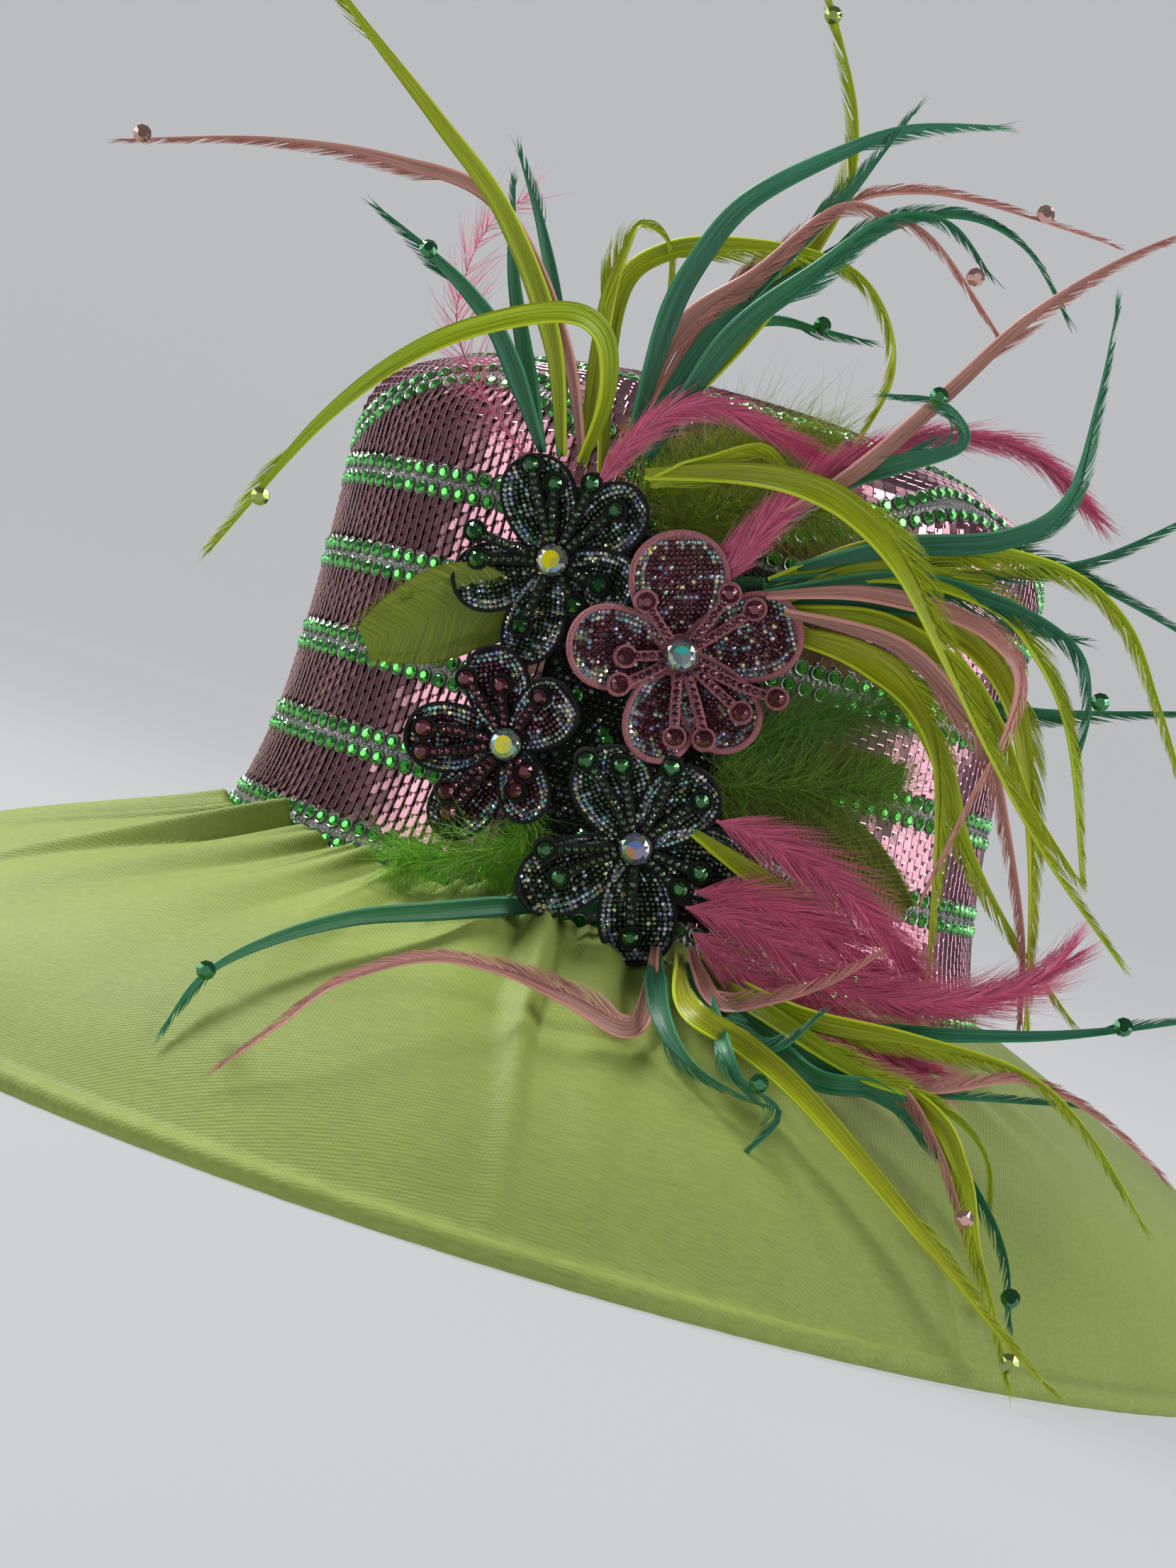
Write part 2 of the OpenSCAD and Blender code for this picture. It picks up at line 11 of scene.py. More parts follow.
import bpy
import numpy as np
from mathutils import Matrix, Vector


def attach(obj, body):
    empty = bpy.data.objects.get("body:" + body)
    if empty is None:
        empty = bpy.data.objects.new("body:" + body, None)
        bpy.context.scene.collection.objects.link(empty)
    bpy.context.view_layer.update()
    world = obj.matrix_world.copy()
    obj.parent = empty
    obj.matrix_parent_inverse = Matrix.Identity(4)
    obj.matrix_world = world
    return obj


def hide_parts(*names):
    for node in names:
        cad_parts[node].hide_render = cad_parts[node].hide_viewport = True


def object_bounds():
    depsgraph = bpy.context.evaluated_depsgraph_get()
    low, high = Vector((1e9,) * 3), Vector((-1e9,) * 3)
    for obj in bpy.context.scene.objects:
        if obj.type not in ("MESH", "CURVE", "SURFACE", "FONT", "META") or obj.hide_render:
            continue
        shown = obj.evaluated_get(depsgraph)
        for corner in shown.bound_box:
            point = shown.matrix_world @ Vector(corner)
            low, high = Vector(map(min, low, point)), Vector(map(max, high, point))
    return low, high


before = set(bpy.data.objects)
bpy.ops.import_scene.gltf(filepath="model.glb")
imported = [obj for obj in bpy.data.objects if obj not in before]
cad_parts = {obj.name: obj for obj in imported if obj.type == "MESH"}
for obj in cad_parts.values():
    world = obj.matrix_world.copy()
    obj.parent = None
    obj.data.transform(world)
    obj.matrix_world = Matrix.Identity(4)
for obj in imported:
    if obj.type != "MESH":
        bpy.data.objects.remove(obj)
cad_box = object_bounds()

MM = 0.001
TAU = 2 * math.pi


# ---- Driving sizes, as in the CAD model ----

HEAD_A = 103.0
HEAD_RATIO = 0.835
CROWN_H = 140.0
SHOULDER_H = 106.0
WAIST_A = 93.0
SIDE_FADE = 22.0
CROWN_LEAN = 0.05
CROWN_TILT = 0.03
BRIM_LONG = 104.0
BRIM_SIDE = 91.0
BRIM_DROP = 60.0
BRIM_SHIFT = 3.0
EDGE_R = 2.4
EDGE_DROP = 1.6
BAND_W = 7.6
BAND_FIRST = 4.0
BAND_STEP = 22.7
WAVE_Z = 114.5
WAVE_AMP = 10.0
TIP_BAND = (131.0, 133.2)
PETAL_T = 1.6
STAMEN_T = 1.2

# Place, tilt, turn, petals (angle, length, width) and stamens (angle, length) of each flower
FLOWERS = [
    ((-88, 34, 81), 0, -12,
     [(120, 25, 20), (50, 26, 18), (210, 24, 18), (270, 25, 16), (-5, 22, 16)],
     [(120, 23), (108, 18), (76, 20), (54, 19), (178, 20), (194, 18), (262, 17), (-46, 12), (-14, 13)]),
    ((-97, 0, 68), 0, 4,
     [(108, 28, 25), (31, 28, 22), (-38, 25, 19), (269, 25, 18), (190, 26, 21)],
     [(142, 15), (68, 18), (48, 20), (197, 13), (225, 16), (279, 19), (-55, 20), (-28, 19), (-12, 24)]),
    ((-90, 32, 37), 4, -12,
     [(115, 23, 17), (53, 20, 17), (-52, 19, 14), (249, 26, 17), (190, 24, 18)],
     [(134, 18), (111, 14), (70, 14), (180, 20), (204, 20), (236, 18), (247, 21), (-36, 8), (-63, 11)]),
    ((-95, -3, 23), 8, 2,
     [(127, 25, 21), (62, 24, 19), (4, 27, 19), (-72, 27, 20), (219, 29, 19)],
     [(131, 24), (116, 20), (79, 21), (57, 19), (197, 21), (213, 19), (282, 21), (-28, 14), (-4, 16)]),
]


# ---- Routes of the feathers, from root to tip, as in the CAD model ----

UPPER_GREEN = [
    [(-90, 45, 105), (-100, 60, 125), (-105, 70, 133), (-110, 80, 138), (-110, 95, 145)],
    [(-90, 40, 105), (-90, 50, 135), (-90, 60, 155), (-90, 70, 170)],
    [(-85, 45, 105), (-85, 60, 135), (-85, 66, 150), (-80, 70, 165)],
    [(-90, 25, 110), (-100, 25, 140), (-105, 22, 155), (-110, 15, 170), (-110, 0, 185), (-110, -15, 196),
     (-105, -35, 204)],
    [(-90, 25, 110), (-95, 15, 140), (-100, 5, 160), (-105, -5, 177), (-110, -10, 188), (-110, -15, 200)],
    [(-95, 20, 110), (-105, 10, 140), (-110, -5, 160), (-110, -17, 175), (-110, -30, 178), (-110, -42, 170)],
    [(-85, 20, 110), (-90, 10, 145), (-95, -10, 170), (-100, -22, 180), (-100, -36, 184), (-100, -50, 180),
     (-100, -62, 168)],
    [(-80, 20, 115), (-75, 12, 145), (-70, 2, 153), (-70, -10, 154), (-70, -22, 155)],
    [(-105, -15, 105), (-110, -25, 117), (-115, -35, 123), (-120, -46, 130), (-122, -43, 135),
     (-122, -37, 137), (-120, -28, 136)],
    [(-100, -20, 95), (-110, -40, 105), (-115, -62, 113), (-120, -73, 125), (-120, -73, 148),
     (-115, -71, 170)]
]
UPPER_LIME = [
    [(-90, 40, 105), (-95, 50, 130), (-105, 68, 153), (-110, 88, 168), (-115, 115, 187), (-115, 125, 198)],
    [(-90, 35, 105), (-105, 33, 120), (-115, 38, 132), (-120, 50, 132), (-125, 73, 117), (-120, 92, 94),
     (-115, 108, 60)],
    [(-85, 35, 105), (-90, 40, 140), (-90, 40, 157), (-90, 38, 163), (-90, 30, 160), (-85, 27, 148)],
    [(-82, 30, 105), (-90, 38, 143), (-90, 30, 158), (-95, 10, 164), (-100, -10, 164), (-102, -22, 156),
     (-100, -28, 143), (-96, -25, 126)],
    [(-82, 25, 110), (-86, 10, 140), (-90, 0, 163), (-92, -5, 183), (-92, -2, 200), (-90, 8, 220),
     (-88, 15, 232)]
]
UPPER_ROSE = [
    [(-90, 35, 105), (-94, 47, 130), (-100, 70, 155), (-105, 95, 157), (-105, 125, 153), (-100, 157, 145)],
    [(-90, 25, 110), (-95, 22, 140), (-100, 8, 157), (-105, -5, 175), (-108, -16, 176), (-110, -28, 173),
     (-108, -48, 158)],
    [(-86, 25, 110), (-90, 17, 145), (-95, 3, 165), (-98, -7, 180), (-100, -20, 186), (-100, -36, 188),
     (-95, -68, 188)],
    [(-100, -5, 97), (-112, -25, 117), (-118, -40, 140), (-122, -52, 160), (-125, -68, 178), (-126, -85, 192)]
]
HOT_PINK_ROUTES = [
    [(-94, 30, 100), (-100, 23, 115), (-104, 12, 124), (-104, -5, 123), (-102, -25, 118)],
    [(-100, 0, 90), (-104, -10, 103), (-108, -20, 117), (-112, -38, 130), (-114, -57, 134), (-115, -70, 130),
     (-114, -82, 123)],
    [(-98, -3, 85), (-104, -9, 98), (-106, -14, 108), (-106, -21, 115)]
]
OSTRICH = [(-86, 45, 100), (-82, 65, 117), (-80, 74, 130), (-78, 75, 145), (-77, 72, 157), (-76, 65, 165)]
FRONT_GREEN = [
    [(-96, -15, 90), (-102, -35, 103), (-106, -52, 109), (-106, -74, 112)],
    [(-98, -15, 90), (-106, -44, 99), (-112, -65, 105), (-116, -83, 114), (-118, -98, 128)],
    [(-95, -15, 90), (-102, -43, 103), (-108, -68, 112), (-112, -86, 110), (-114, -108, 104)],
    [(-100, -15, 87), (-108, -43, 98), (-114, -64, 99), (-118, -83, 94), (-119, -90, 83), (-116, -92, 71)],
    [(-96, -15, 86), (-102, -44, 93), (-106, -66, 95), (-106, -86, 97)],
    [(-90, -18, 80), (-96, -40, 80), (-100, -55, 77), (-106, -80, 78), (-108, -112, 88)]
]
FRONT_LIME = [
    [(-98, 20, 106), (-108, 0, 111), (-116, -15, 112), (-120, -28, 109), (-124, -42, 100), (-126, -57, 84),
     (-126, -74, 65), (-124, -92, 47), (-120, -113, 30)],
    [(-98, -15, 90), (-104, -34, 103), (-110, -52, 108), (-116, -76, 109), (-119, -92, 102), (-118, -104, 88),
     (-116, -114, 75)],
    [(-98, -18, 80), (-104, -38, 80), (-108, -54, 74), (-110, -64, 62), (-110, -69, 45), (-108, -72, 30),
     (-104, -75, 15)],
    [(-96, -17, 84), (-104, -40, 88), (-110, -60, 83), (-114, -72, 73), (-116, -84, 58), (-114, -99, 46)],
    [(-94, -17, 86), (-102, -47, 92), (-110, -65, 88), (-114, -78, 74), (-114, -90, 45), (-110, -99, 10)],
    [(-92, -17, 83), (-98, -48, 76), (-104, -64, 62), (-108, -74, 45), (-110, -88, 30), (-108, -109, 14)],
    [(-96, -17, 86), (-104, -32, 97), (-110, -48, 101), (-114, -66, 99), (-117, -76, 92), (-118, -85, 82),
     (-117, -92, 69), (-113, -101, 45)],
    [(-98, 18, 104), (-104, 6, 111), (-106, -4, 118), (-104, -11, 116)]
]
FRONT_ROSE = [
    [(-102, -15, 87), (-110, -35, 93), (-116, -54, 94), (-120, -66, 91), (-120, -74, 84), (-118, -75, 70),
     (-116, -72, 56), (-112, -68, 32)],
    [(-104, -20, 84), (-110, -46, 84), (-114, -64, 74), (-116, -72, 66), (-116, -81, 50), (-114, -92, 28),
     (-110, -98, 10)]
]
LOWER_GREEN = [
    [(-90, -5, 8), (-96, 18, 2), (-110, 36, -4), (-122, 53, -10), (-135, 68, -19), (-145, 78, -29),
     (-152, 82, -41)],
    [(-95, -14, 2), (-124, -18, -9), (-136, -26, -17), (-142, -36, -20), (-140, -45, -21)],
    [(-95, -22, 0), (-128, -34, -7), (-136, -44, -9), (-130, -52, 0)],
    [(-95, -23, 0), (-138, -32, -10), (-146, -38, -17), (-148, -48, -21), (-148, -44, -31)],
    [(-95, -24, 0), (-118, -54, -2), (-124, -73, 2), (-126, -88, 6), (-128, -106, 12), (-128, -134, 24)],
    [(-95, -23, 0), (-128, -52, -13), (-132, -68, -12), (-134, -82, -17), (-138, -96, -28), (-142, -104, -38),
     (-148, -108, -50)],
    [(-92, -23, 0), (-122, -46, -6), (-130, -62, -12), (-130, -84, -8), (-126, -112, -3)]
]
LOWER_LIME = [
    [(-95, -20, 2), (-133, -24, -6), (-138, -38, -10), (-144, -52, -16), (-150, -70, -27), (-156, -88, -39),
     (-160, -104, -50), (-162, -117, -58)],
    [(-95, -23, 2), (-122, -46, -2), (-128, -72, 0), (-130, -98, 0), (-130, -115, -8), (-128, -134, -24)],
    [(-95, -23, 0), (-120, -40, -3), (-132, -64, -9), (-134, -81, -10), (-136, -94, -17), (-138, -98, -29)],
    [(-115, -44, -6), (-134, -78, -12), (-140, -90, -23), (-148, -96, -37), (-156, -103, -49),
     (-163, -108, -59)],
    [(-100, -15, 30), (-104, -34, 24), (-108, -54, 19), (-110, -73, 18)]
]
LOWER_ROSE = [
    [(-98, -14, 2), (-128, -14, -14), (-136, 2, -11), (-136, 17, -9), (-142, 34, -11), (-152, 50, -21),
     (-157, 58, -32), (-160, 67, -44)],
    [(-95, -25, 2), (-126, -54, -7), (-132, -77, -8), (-130, -98, 0), (-130, -116, -3), (-128, -134, -12)],
    [(-96, -25, 0), (-126, -54, -8), (-132, -72, -10), (-138, -82, -18), (-142, -89, -27), (-146, -96, -38)],
    [(-96, -22, 4), (-122, -30, -4), (-128, -40, 0), (-130, -52, 8), (-130, -60, 16)]
]
LOWER_PINK = [
    [(-104, -18, 13), (-110, -33, 13), (-116, -53, 7), (-120, -72, 8), (-120, -89, 15), (-120, -98, 22),
     (-118, -103, 29)],
    [(-102, -19, 34), (-106, -33, 33), (-110, -49, 28), (-112, -64, 20), (-112, -73, 13)],
    [(-102, -19, 17), (-108, -33, 19), (-112, -52, 16), (-114, -68, 9)],
    [(-104, -21, 8), (-112, -38, 2), (-118, -60, -2), (-122, -81, -6)]
]
OLIVE_LEAF = [
    [(-86, 38, 67), (-88, 51, 65), (-88, 61, 58), (-88, 72, 50)],
    [(-92, -20, 37), (-95, -35, 38), (-96, -51, 35), (-96, -67, 26)],
    [(-91, -20, 41), (-94, -33, 46), (-94, -44, 53), (-94, -58, 56)]
]
OLIVE_MARABOU = [
    [(-84, 20, 98), (-88, 8, 112), (-90, -5, 122), (-90, -20, 126)],
    [(-84, 12, 93), (-90, 0, 104), (-92, -15, 108), (-92, -30, 108)],
    [(-92, -15, 46), (-94, -27, 57), (-96, -40, 66), (-96, -56, 73)],
    [(-94, -14, 41), (-96, -33, 46), (-98, -48, 50), (-96, -58, 53)],
    [(-90, 24, 15), (-91, 32, 10), (-91, 42, 6), (-90, 50, 3)]
]
GREEN_CRYSTALS = [(-112, 81, 139), (-72, -10, 155), (-124, -38, 138), (-121, -92, 84), (-130, -116, 17),
                  (-150, 77, -27), (-149, -106, -44), (-149, -42, -16)]
ROSE_CRYSTALS = [(-102, 153, 147), (-112, -39, 168), (-100, -51, 189), (-148, -92, -31)]
LIME_CRYSTALS = [(-92, 9, 221), (-120, 100, 74), (-162, -107, -55)]


# ---- Points and directions ----


def unit(v):
    """Vectors scaled to length 1."""
    v = np.asarray(v, float)
    return v / np.maximum(np.linalg.norm(v, axis=-1, keepdims=True), 1e-9)


def turns(count):
    """Angles of count even steps round a full turn."""
    return np.arange(count) / count * TAU


def circle(sides, turn=0.0):
    """Points (cos, sin) round a circle of radius 1, turned by an angle."""
    q = turns(sides) + turn
    return np.stack([np.cos(q), np.sin(q)], -1)


def at_height(flat, z):
    """Flat points (x, y) lifted to a height."""
    return np.hstack([flat, np.full((len(flat), 1), float(z))])


def arc_run(line):
    """Distance along a line of points, at each of them."""
    return np.concatenate([[0], np.cumsum(np.linalg.norm(np.diff(line, axis=0), axis=1))])


def at_spots(k, *fields):
    """The values of per-point fields at fractional point numbers."""
    number = np.arange(len(fields[0]))
    return [np.stack([np.interp(k, number, a[:, j]) for j in range(a.shape[1])], -1) for a in fields]


def leaned(axes, lean):
    """Rows x, y and z of many axes, tipped so that z leans along x and y by the two columns of lean."""
    x, y, z = axes
    z = unit(z + x * lean[:, :1] + y * lean[:, 1:])
    x = unit(x - z * np.sum(x * z, 1, keepdims=True))
    return x, np.cross(z, x), z


# ---- Camera, floor and light ----


def place_object(name, data, place, axes):
    """A camera or lamp at place in metres, turned to its x, y and z axes."""
    item = bpy.data.objects.new(name, data)
    bpy.context.collection.objects.link(item)
    turn = np.eye(4)
    turn[:3, :3] = np.stack(axes, 1)
    turn[:3, 3] = place
    item.matrix_world = Matrix(turn)
    return item


def add_camera():
    """A camera at the photograph's viewing angle, on the wearer's right."""
    yaw, pitch, roll = (math.radians(a) for a in (-0.83, -0.81, 16.83))
    ahead = np.array([math.cos(pitch) * math.cos(yaw), -math.cos(pitch) * math.sin(yaw), math.sin(pitch)])
    level = np.array([-math.sin(yaw), -math.cos(yaw), 0.0])
    above = np.cross(level, ahead)
    right = level * math.cos(roll) + above * math.sin(roll)
    up = above * math.cos(roll) - level * math.sin(roll)
    data = bpy.data.cameras.new("camera")
    data.sensor_width = 36.0
    data.lens = 59.74
    data.clip_end = 30.0
    bpy.context.scene.camera = place_object("camera", data, (-0.7, 0.003, 0.042), (right, up, -ahead))


def add_light(name, place, size, power):
    """A soft rectangular lamp at place in metres, facing the hat's middle."""
    data = bpy.data.lights.new(name, "AREA")
    data.shape = "RECTANGLE"
    data.size, data.size_y = size
    data.energy = power
    ahead = unit(np.array([0, 0, 0.05]) - place)
    across = unit(np.cross(ahead, (0, 0, 1.0)))
    place_object(name, data, place, (across, np.cross(across, ahead), -ahead))


def studio_paper():
    """Pale paper that glows a little, so that the floor and the wall are equally bright."""
    material, tree, shader = new_material("studio_paper", Roughness=0.9, Emission_Color=(0.97, 0.98, 1.0, 1),
                                          Emission_Strength=0.48)
    paint(tree, shader, constant(tree, (0.12, 0.121, 0.125)), noise(tree, 4), 0.98, 1.02)
    return material


def add_surroundings():
    """A pale floor and wall, a dim room for the metal to mirror, and soft lamps."""
    floor_z = cad_box[0][2]
    half, rise, bend, wide = 6.0, 5.0, 1.2, 8.0
    steps = 12
    turn = np.arange(1, steps + 1) / steps * math.pi / 2
    curve = [(half - bend + bend * math.sin(a), bend - bend * math.cos(a)) for a in turn]
    profile = [(-half, 0.0), (half - bend, 0.0), *curve, (half, rise)]
    verts = [(x, side * wide, floor_z + z) for x, z in profile for side in (-1, 1)]
    faces = [(2 * k, 2 * k + 2, 2 * k + 3, 2 * k + 1) for k in range(len(profile) - 1)]
    mesh = bpy.data.meshes.new("studio_floor")
    mesh.from_pydata(verts, [], faces)
    mesh.polygons.foreach_set("use_smooth", [True] * len(faces))
    mesh.materials.append(studio_paper())
    floor = bpy.data.objects.new("studio_floor", mesh)
    bpy.context.collection.objects.link(floor)
    world = bpy.data.worlds.new("room")
    world.use_nodes = True
    backdrop = world.node_tree.nodes["Background"].inputs
    backdrop["Color"].default_value = (0.62, 0.64, 0.68, 1)
    backdrop["Strength"].default_value = 0.16
    bpy.context.scene.world = world
    bpy.context.scene.view_settings.view_transform = "Standard"
    add_light("back_panel", (-0.36, 1.67, 0.25), (0.8, 1.3), 7)
    add_light("front_panel", (-0.55, -1.6, 0.3), (0.9, 1.3), 8)
    add_light("overhead", (0.3, 1.1, 1.3), (0.4, 0.4), 29)
    add_light("camera_side", (-0.8, -1.4, 1.2), (0.8, 0.8), 13)
    add_light("far_side", (1.2, -0.9, 1.3), (1.0, 1.0), 4)


# ---- Materials ----


def new_material(name, **looks):
    """A node material with constants set on its Principled shader, its tree and that shader."""
    material = bpy.data.materials.new(name)
    material.use_nodes = True
    shader = material.node_tree.nodes["Principled BSDF"]
    for key, value in looks.items():
        shader.inputs[key.replace("_", " ")].default_value = value
    return material, material.node_tree, shader


def add_node(tree, kind, links=(), **settings):
    """A shader node with its settings, and (input, output socket) links into it."""
    node = tree.nodes.new(kind)
    for key, value in settings.items():
        if hasattr(node, key):
            setattr(node, key, value)
        else:
            node.inputs[key.replace("_", " ")].default_value = value
    for name, source in links:
        tree.links.new(source, node.inputs[name])
    return node


def noise(tree, scale, detail=2.0, stretch=(1, 1, 1)):
    """The value of a noise texture in the object's own space, per metre."""
    place = add_node(tree, "ShaderNodeTexCoord").outputs["Object"]
    place = add_node(tree, "ShaderNodeMapping", [("Vector", place)], Scale=stretch).outputs["Vector"]
    grain = add_node(tree, "ShaderNodeTexNoise", [("Vector", place)], Scale=scale, Detail=detail)
    return grain.outputs["Fac"]


def add_bump(tree, shader, height, strength, distance):
    """Height in a socket drives the shader's normal."""
    bump = add_node(tree, "ShaderNodeBump", [("Height", height)], Strength=strength, Distance=distance)
    tree.links.new(bump.outputs["Normal"], shader.inputs["Normal"])


def shaded(tree, color_out, factor, dark, light):
    """A colour multiplied by a grey between dark and light, as factor goes through its middle range."""
    ramp = add_node(tree, "ShaderNodeMapRange", [("Value", factor)], From_Min=0.3, From_Max=0.7, To_Min=dark,
                    To_Max=light)
    return add_node(tree, "ShaderNodeVectorMath", [(0, color_out), (1, ramp.outputs["Result"])],
                    operation="MULTIPLY").outputs["Vector"]


def paint(tree, shader, color_out, factor, dark, light):
    """The shader's colour: color_out, shaded by factor."""
    tree.links.new(shaded(tree, color_out, factor, dark, light), shader.inputs["Base Color"])


def constant(tree, color):
    """A socket that holds one colour."""
    node = add_node(tree, "ShaderNodeRGB")
    node.outputs[0].default_value = (*color, 1)
    return node.outputs[0]


def own_tint(tree):
    """A socket with the tint that each copied piece carries."""
    return add_node(tree, "ShaderNodeAttribute", attribute_name="tint").outputs["Color"]


def plain(name, color, rough, spots, scale, bump=0.0, metal=0.0, sheen=0.0):
    """A surface of one colour with mild mottling."""
    material, tree, shader = new_material(name, Roughness=rough, Metallic=metal, Sheen_Weight=sheen,
                                          Sheen_Roughness=0.4)
    grain = noise(tree, scale)
    paint(tree, shader, constant(tree, color), grain, 1 - spots, 1 + spots)
    if bump:
        add_bump(tree, shader, grain, bump, 0.0004)
    return material


def weave(name, color, rough=0.55):
    """Satin: two fine thread directions, slubs along one of them and slow shifts of colour."""
    material, tree, shader = new_material(name, Roughness=rough, Sheen_Weight=0.2, Sheen_Tint=(*color, 1),
                                          Sheen_Roughness=0.35, Specular_IOR_Level=0.3)
    pitch = 0.00055  # of the threads, in metres
    place = add_node(tree, "ShaderNodeTexCoord").outputs["Object"]
    height = noise(tree, 1500, 1.0, (1.0, 0.12, 1.0))
    base = shaded(tree, constant(tree, color), noise(tree, 14, 3.0), 0.91, 1.09)
    paint(tree, shader, base, height, 0.92, 1.07)
    for direction in ("X", "Y"):
        threads = add_node(tree, "ShaderNodeTexWave", [("Vector", place)], bands_direction=direction,
                           Scale=0.314 / pitch, Distortion=1.2, Detail=1.0, Detail_Scale=0.4)
        height = add_node(tree, "ShaderNodeMath", [(0, height), (1, threads.outputs["Fac"])],
                          operation="ADD").outputs[0]
    add_bump(tree, shader, height, 0.35, 0.00012)
    return material


def felt(name, color):
    """Flocked felt: short fibres that blur the light."""
    material, tree, shader = new_material(name, Roughness=0.95, Sheen_Weight=0.5, Sheen_Tint=(*color, 1),
                                          Sheen_Roughness=0.5)
    fibres = noise(tree, 2600, 3.0)
    paint(tree, shader, constant(tree, color), fibres, 0.6, 1.5)
    add_bump(tree, shader, fibres, 0.7, 0.0004)
    return material


def tinted(name, rough, metal=0.0, coat=0.0, sheen=0.0, scale=0.0, spots=0.0, grain=0.0):
    """A surface whose colour is each piece's own tint, with mottling by spots and bumps by grain."""
    material, tree, shader = new_material(name, Roughness=rough, Metallic=metal, Coat_Weight=coat,
                                          Sheen_Weight=sheen, Sheen_Roughness=0.4)
    if not scale:
        tree.links.new(own_tint(tree), shader.inputs["Base Color"])
        return material
    mottle = noise(tree, scale)
    paint(tree, shader, own_tint(tree), mottle, 1 - spots, 1 + spots)
    if grain:
        add_bump(tree, shader, mottle, grain, 0.0003)
    return material


def feather_vane():
    """The smooth side of a feather: fine barbs that run nearly along it, read from its own map."""
    material, tree, shader = new_material("feather_vane", Roughness=0.38, Sheen_Weight=0.3,
                                          Sheen_Roughness=0.3)
    place = add_node(tree, "ShaderNodeUVMap", uv_map="vane").outputs["UV"]
    barbs = add_node(tree, "ShaderNodeTexNoise", [("Vector", place)], Scale=1.0, Detail=3.0).outputs["Fac"]
    paint(tree, shader, own_tint(tree), barbs, 0.5, 1.45)
    add_bump(tree, shader, barbs, 0.6, 0.0003)
    return material


# ---- The hat's form ----


def crown_a(z):
    """Half length of the buckram crown at a height."""
    z = np.asarray(z, float)
    side = WAIST_A + (HEAD_A - WAIST_A) * np.exp(-z / SIDE_FADE)
    share = np.clip((z - SHOULDER_H) / (CROWN_H - SHOULDER_H), 0, 1)
    return np.where(z <= SHOULDER_H, side, WAIST_A * np.sqrt(1 - share ** 3))


def crown_point(t, z, off=0.0):
    """Points on the crown at angles t in radians and heights z, moved out by off."""
    t, z, off = np.broadcast_arrays(np.asarray(t, float), np.asarray(z, float), np.asarray(off, float))
    up = np.clip((z - SHOULDER_H) / (CROWN_H - SHOULDER_H), 0, 1) ** 1.2
    out = off * np.sqrt(1 - up * up)
    a = crown_a(z)
    y = (a + out) * np.cos(t)
    x = -(a * HEAD_RATIO + out) * np.sin(t)
    tilt = CROWN_TILT * (z / CROWN_H) ** 2 * y
    return np.stack([x, y + CROWN_LEAN * z, z + off * up - tilt], -1)


def brim_point(t, u, off=0.0):
    """Points on the brim at angles t and shares u of its width, moved up by off."""
    t, u, off = np.broadcast_arrays(np.asarray(t, float), np.asarray(u, float), np.asarray(off, float))
    a = HEAD_A + BRIM_LONG * u
    b = HEAD_A * HEAD_RATIO + BRIM_SIDE * u
    inward = np.clip(u, 0, None)
    z = -BRIM_DROP * (0.6 * inward + 0.4 * inward ** 5)
    return np.stack([-b * np.sin(t), a * np.cos(t) + BRIM_SHIFT * u, z + off], -1)


def wave(t, amp):
    """Rise and fall of a wavy band round the crown at angles t, amp at most."""
    return amp * np.sin(4 * t - math.radians(110))


def wave_height(t):
    """Middle height of the wavy band at an angle."""
    return WAVE_Z + wave(t, WAVE_AMP)


def crown_frames(t, z, off):
    """Place, direction round the crown, direction up it, and normal, at each (t, z)."""
    small_t, small_z = 0.004, 0.3
    place = crown_point(t, z, off)
    z = np.minimum(z, CROWN_H - 0.6)
    around = unit(crown_point(t + small_t, z, off) - crown_point(t - small_t, z, off))
    upward = crown_point(t, z + small_z, off) - crown_point(t, z - small_z, off)
    normal = unit(np.cross(around, upward))
    return place, around, np.cross(normal, around), normal


def even_angles(z, pitch, amp=0.0):
    """Angles round the crown whose points lie a pitch apart, closed into a full ring."""
    t = np.linspace(0, TAU, 1441)
    run = arc_run(crown_point(t, z + wave(t, amp)))
    count = max(3, round(run[-1] / pitch))
    return np.interp(np.arange(count) / count * run[-1], run, t)


# ---- Meshes ----


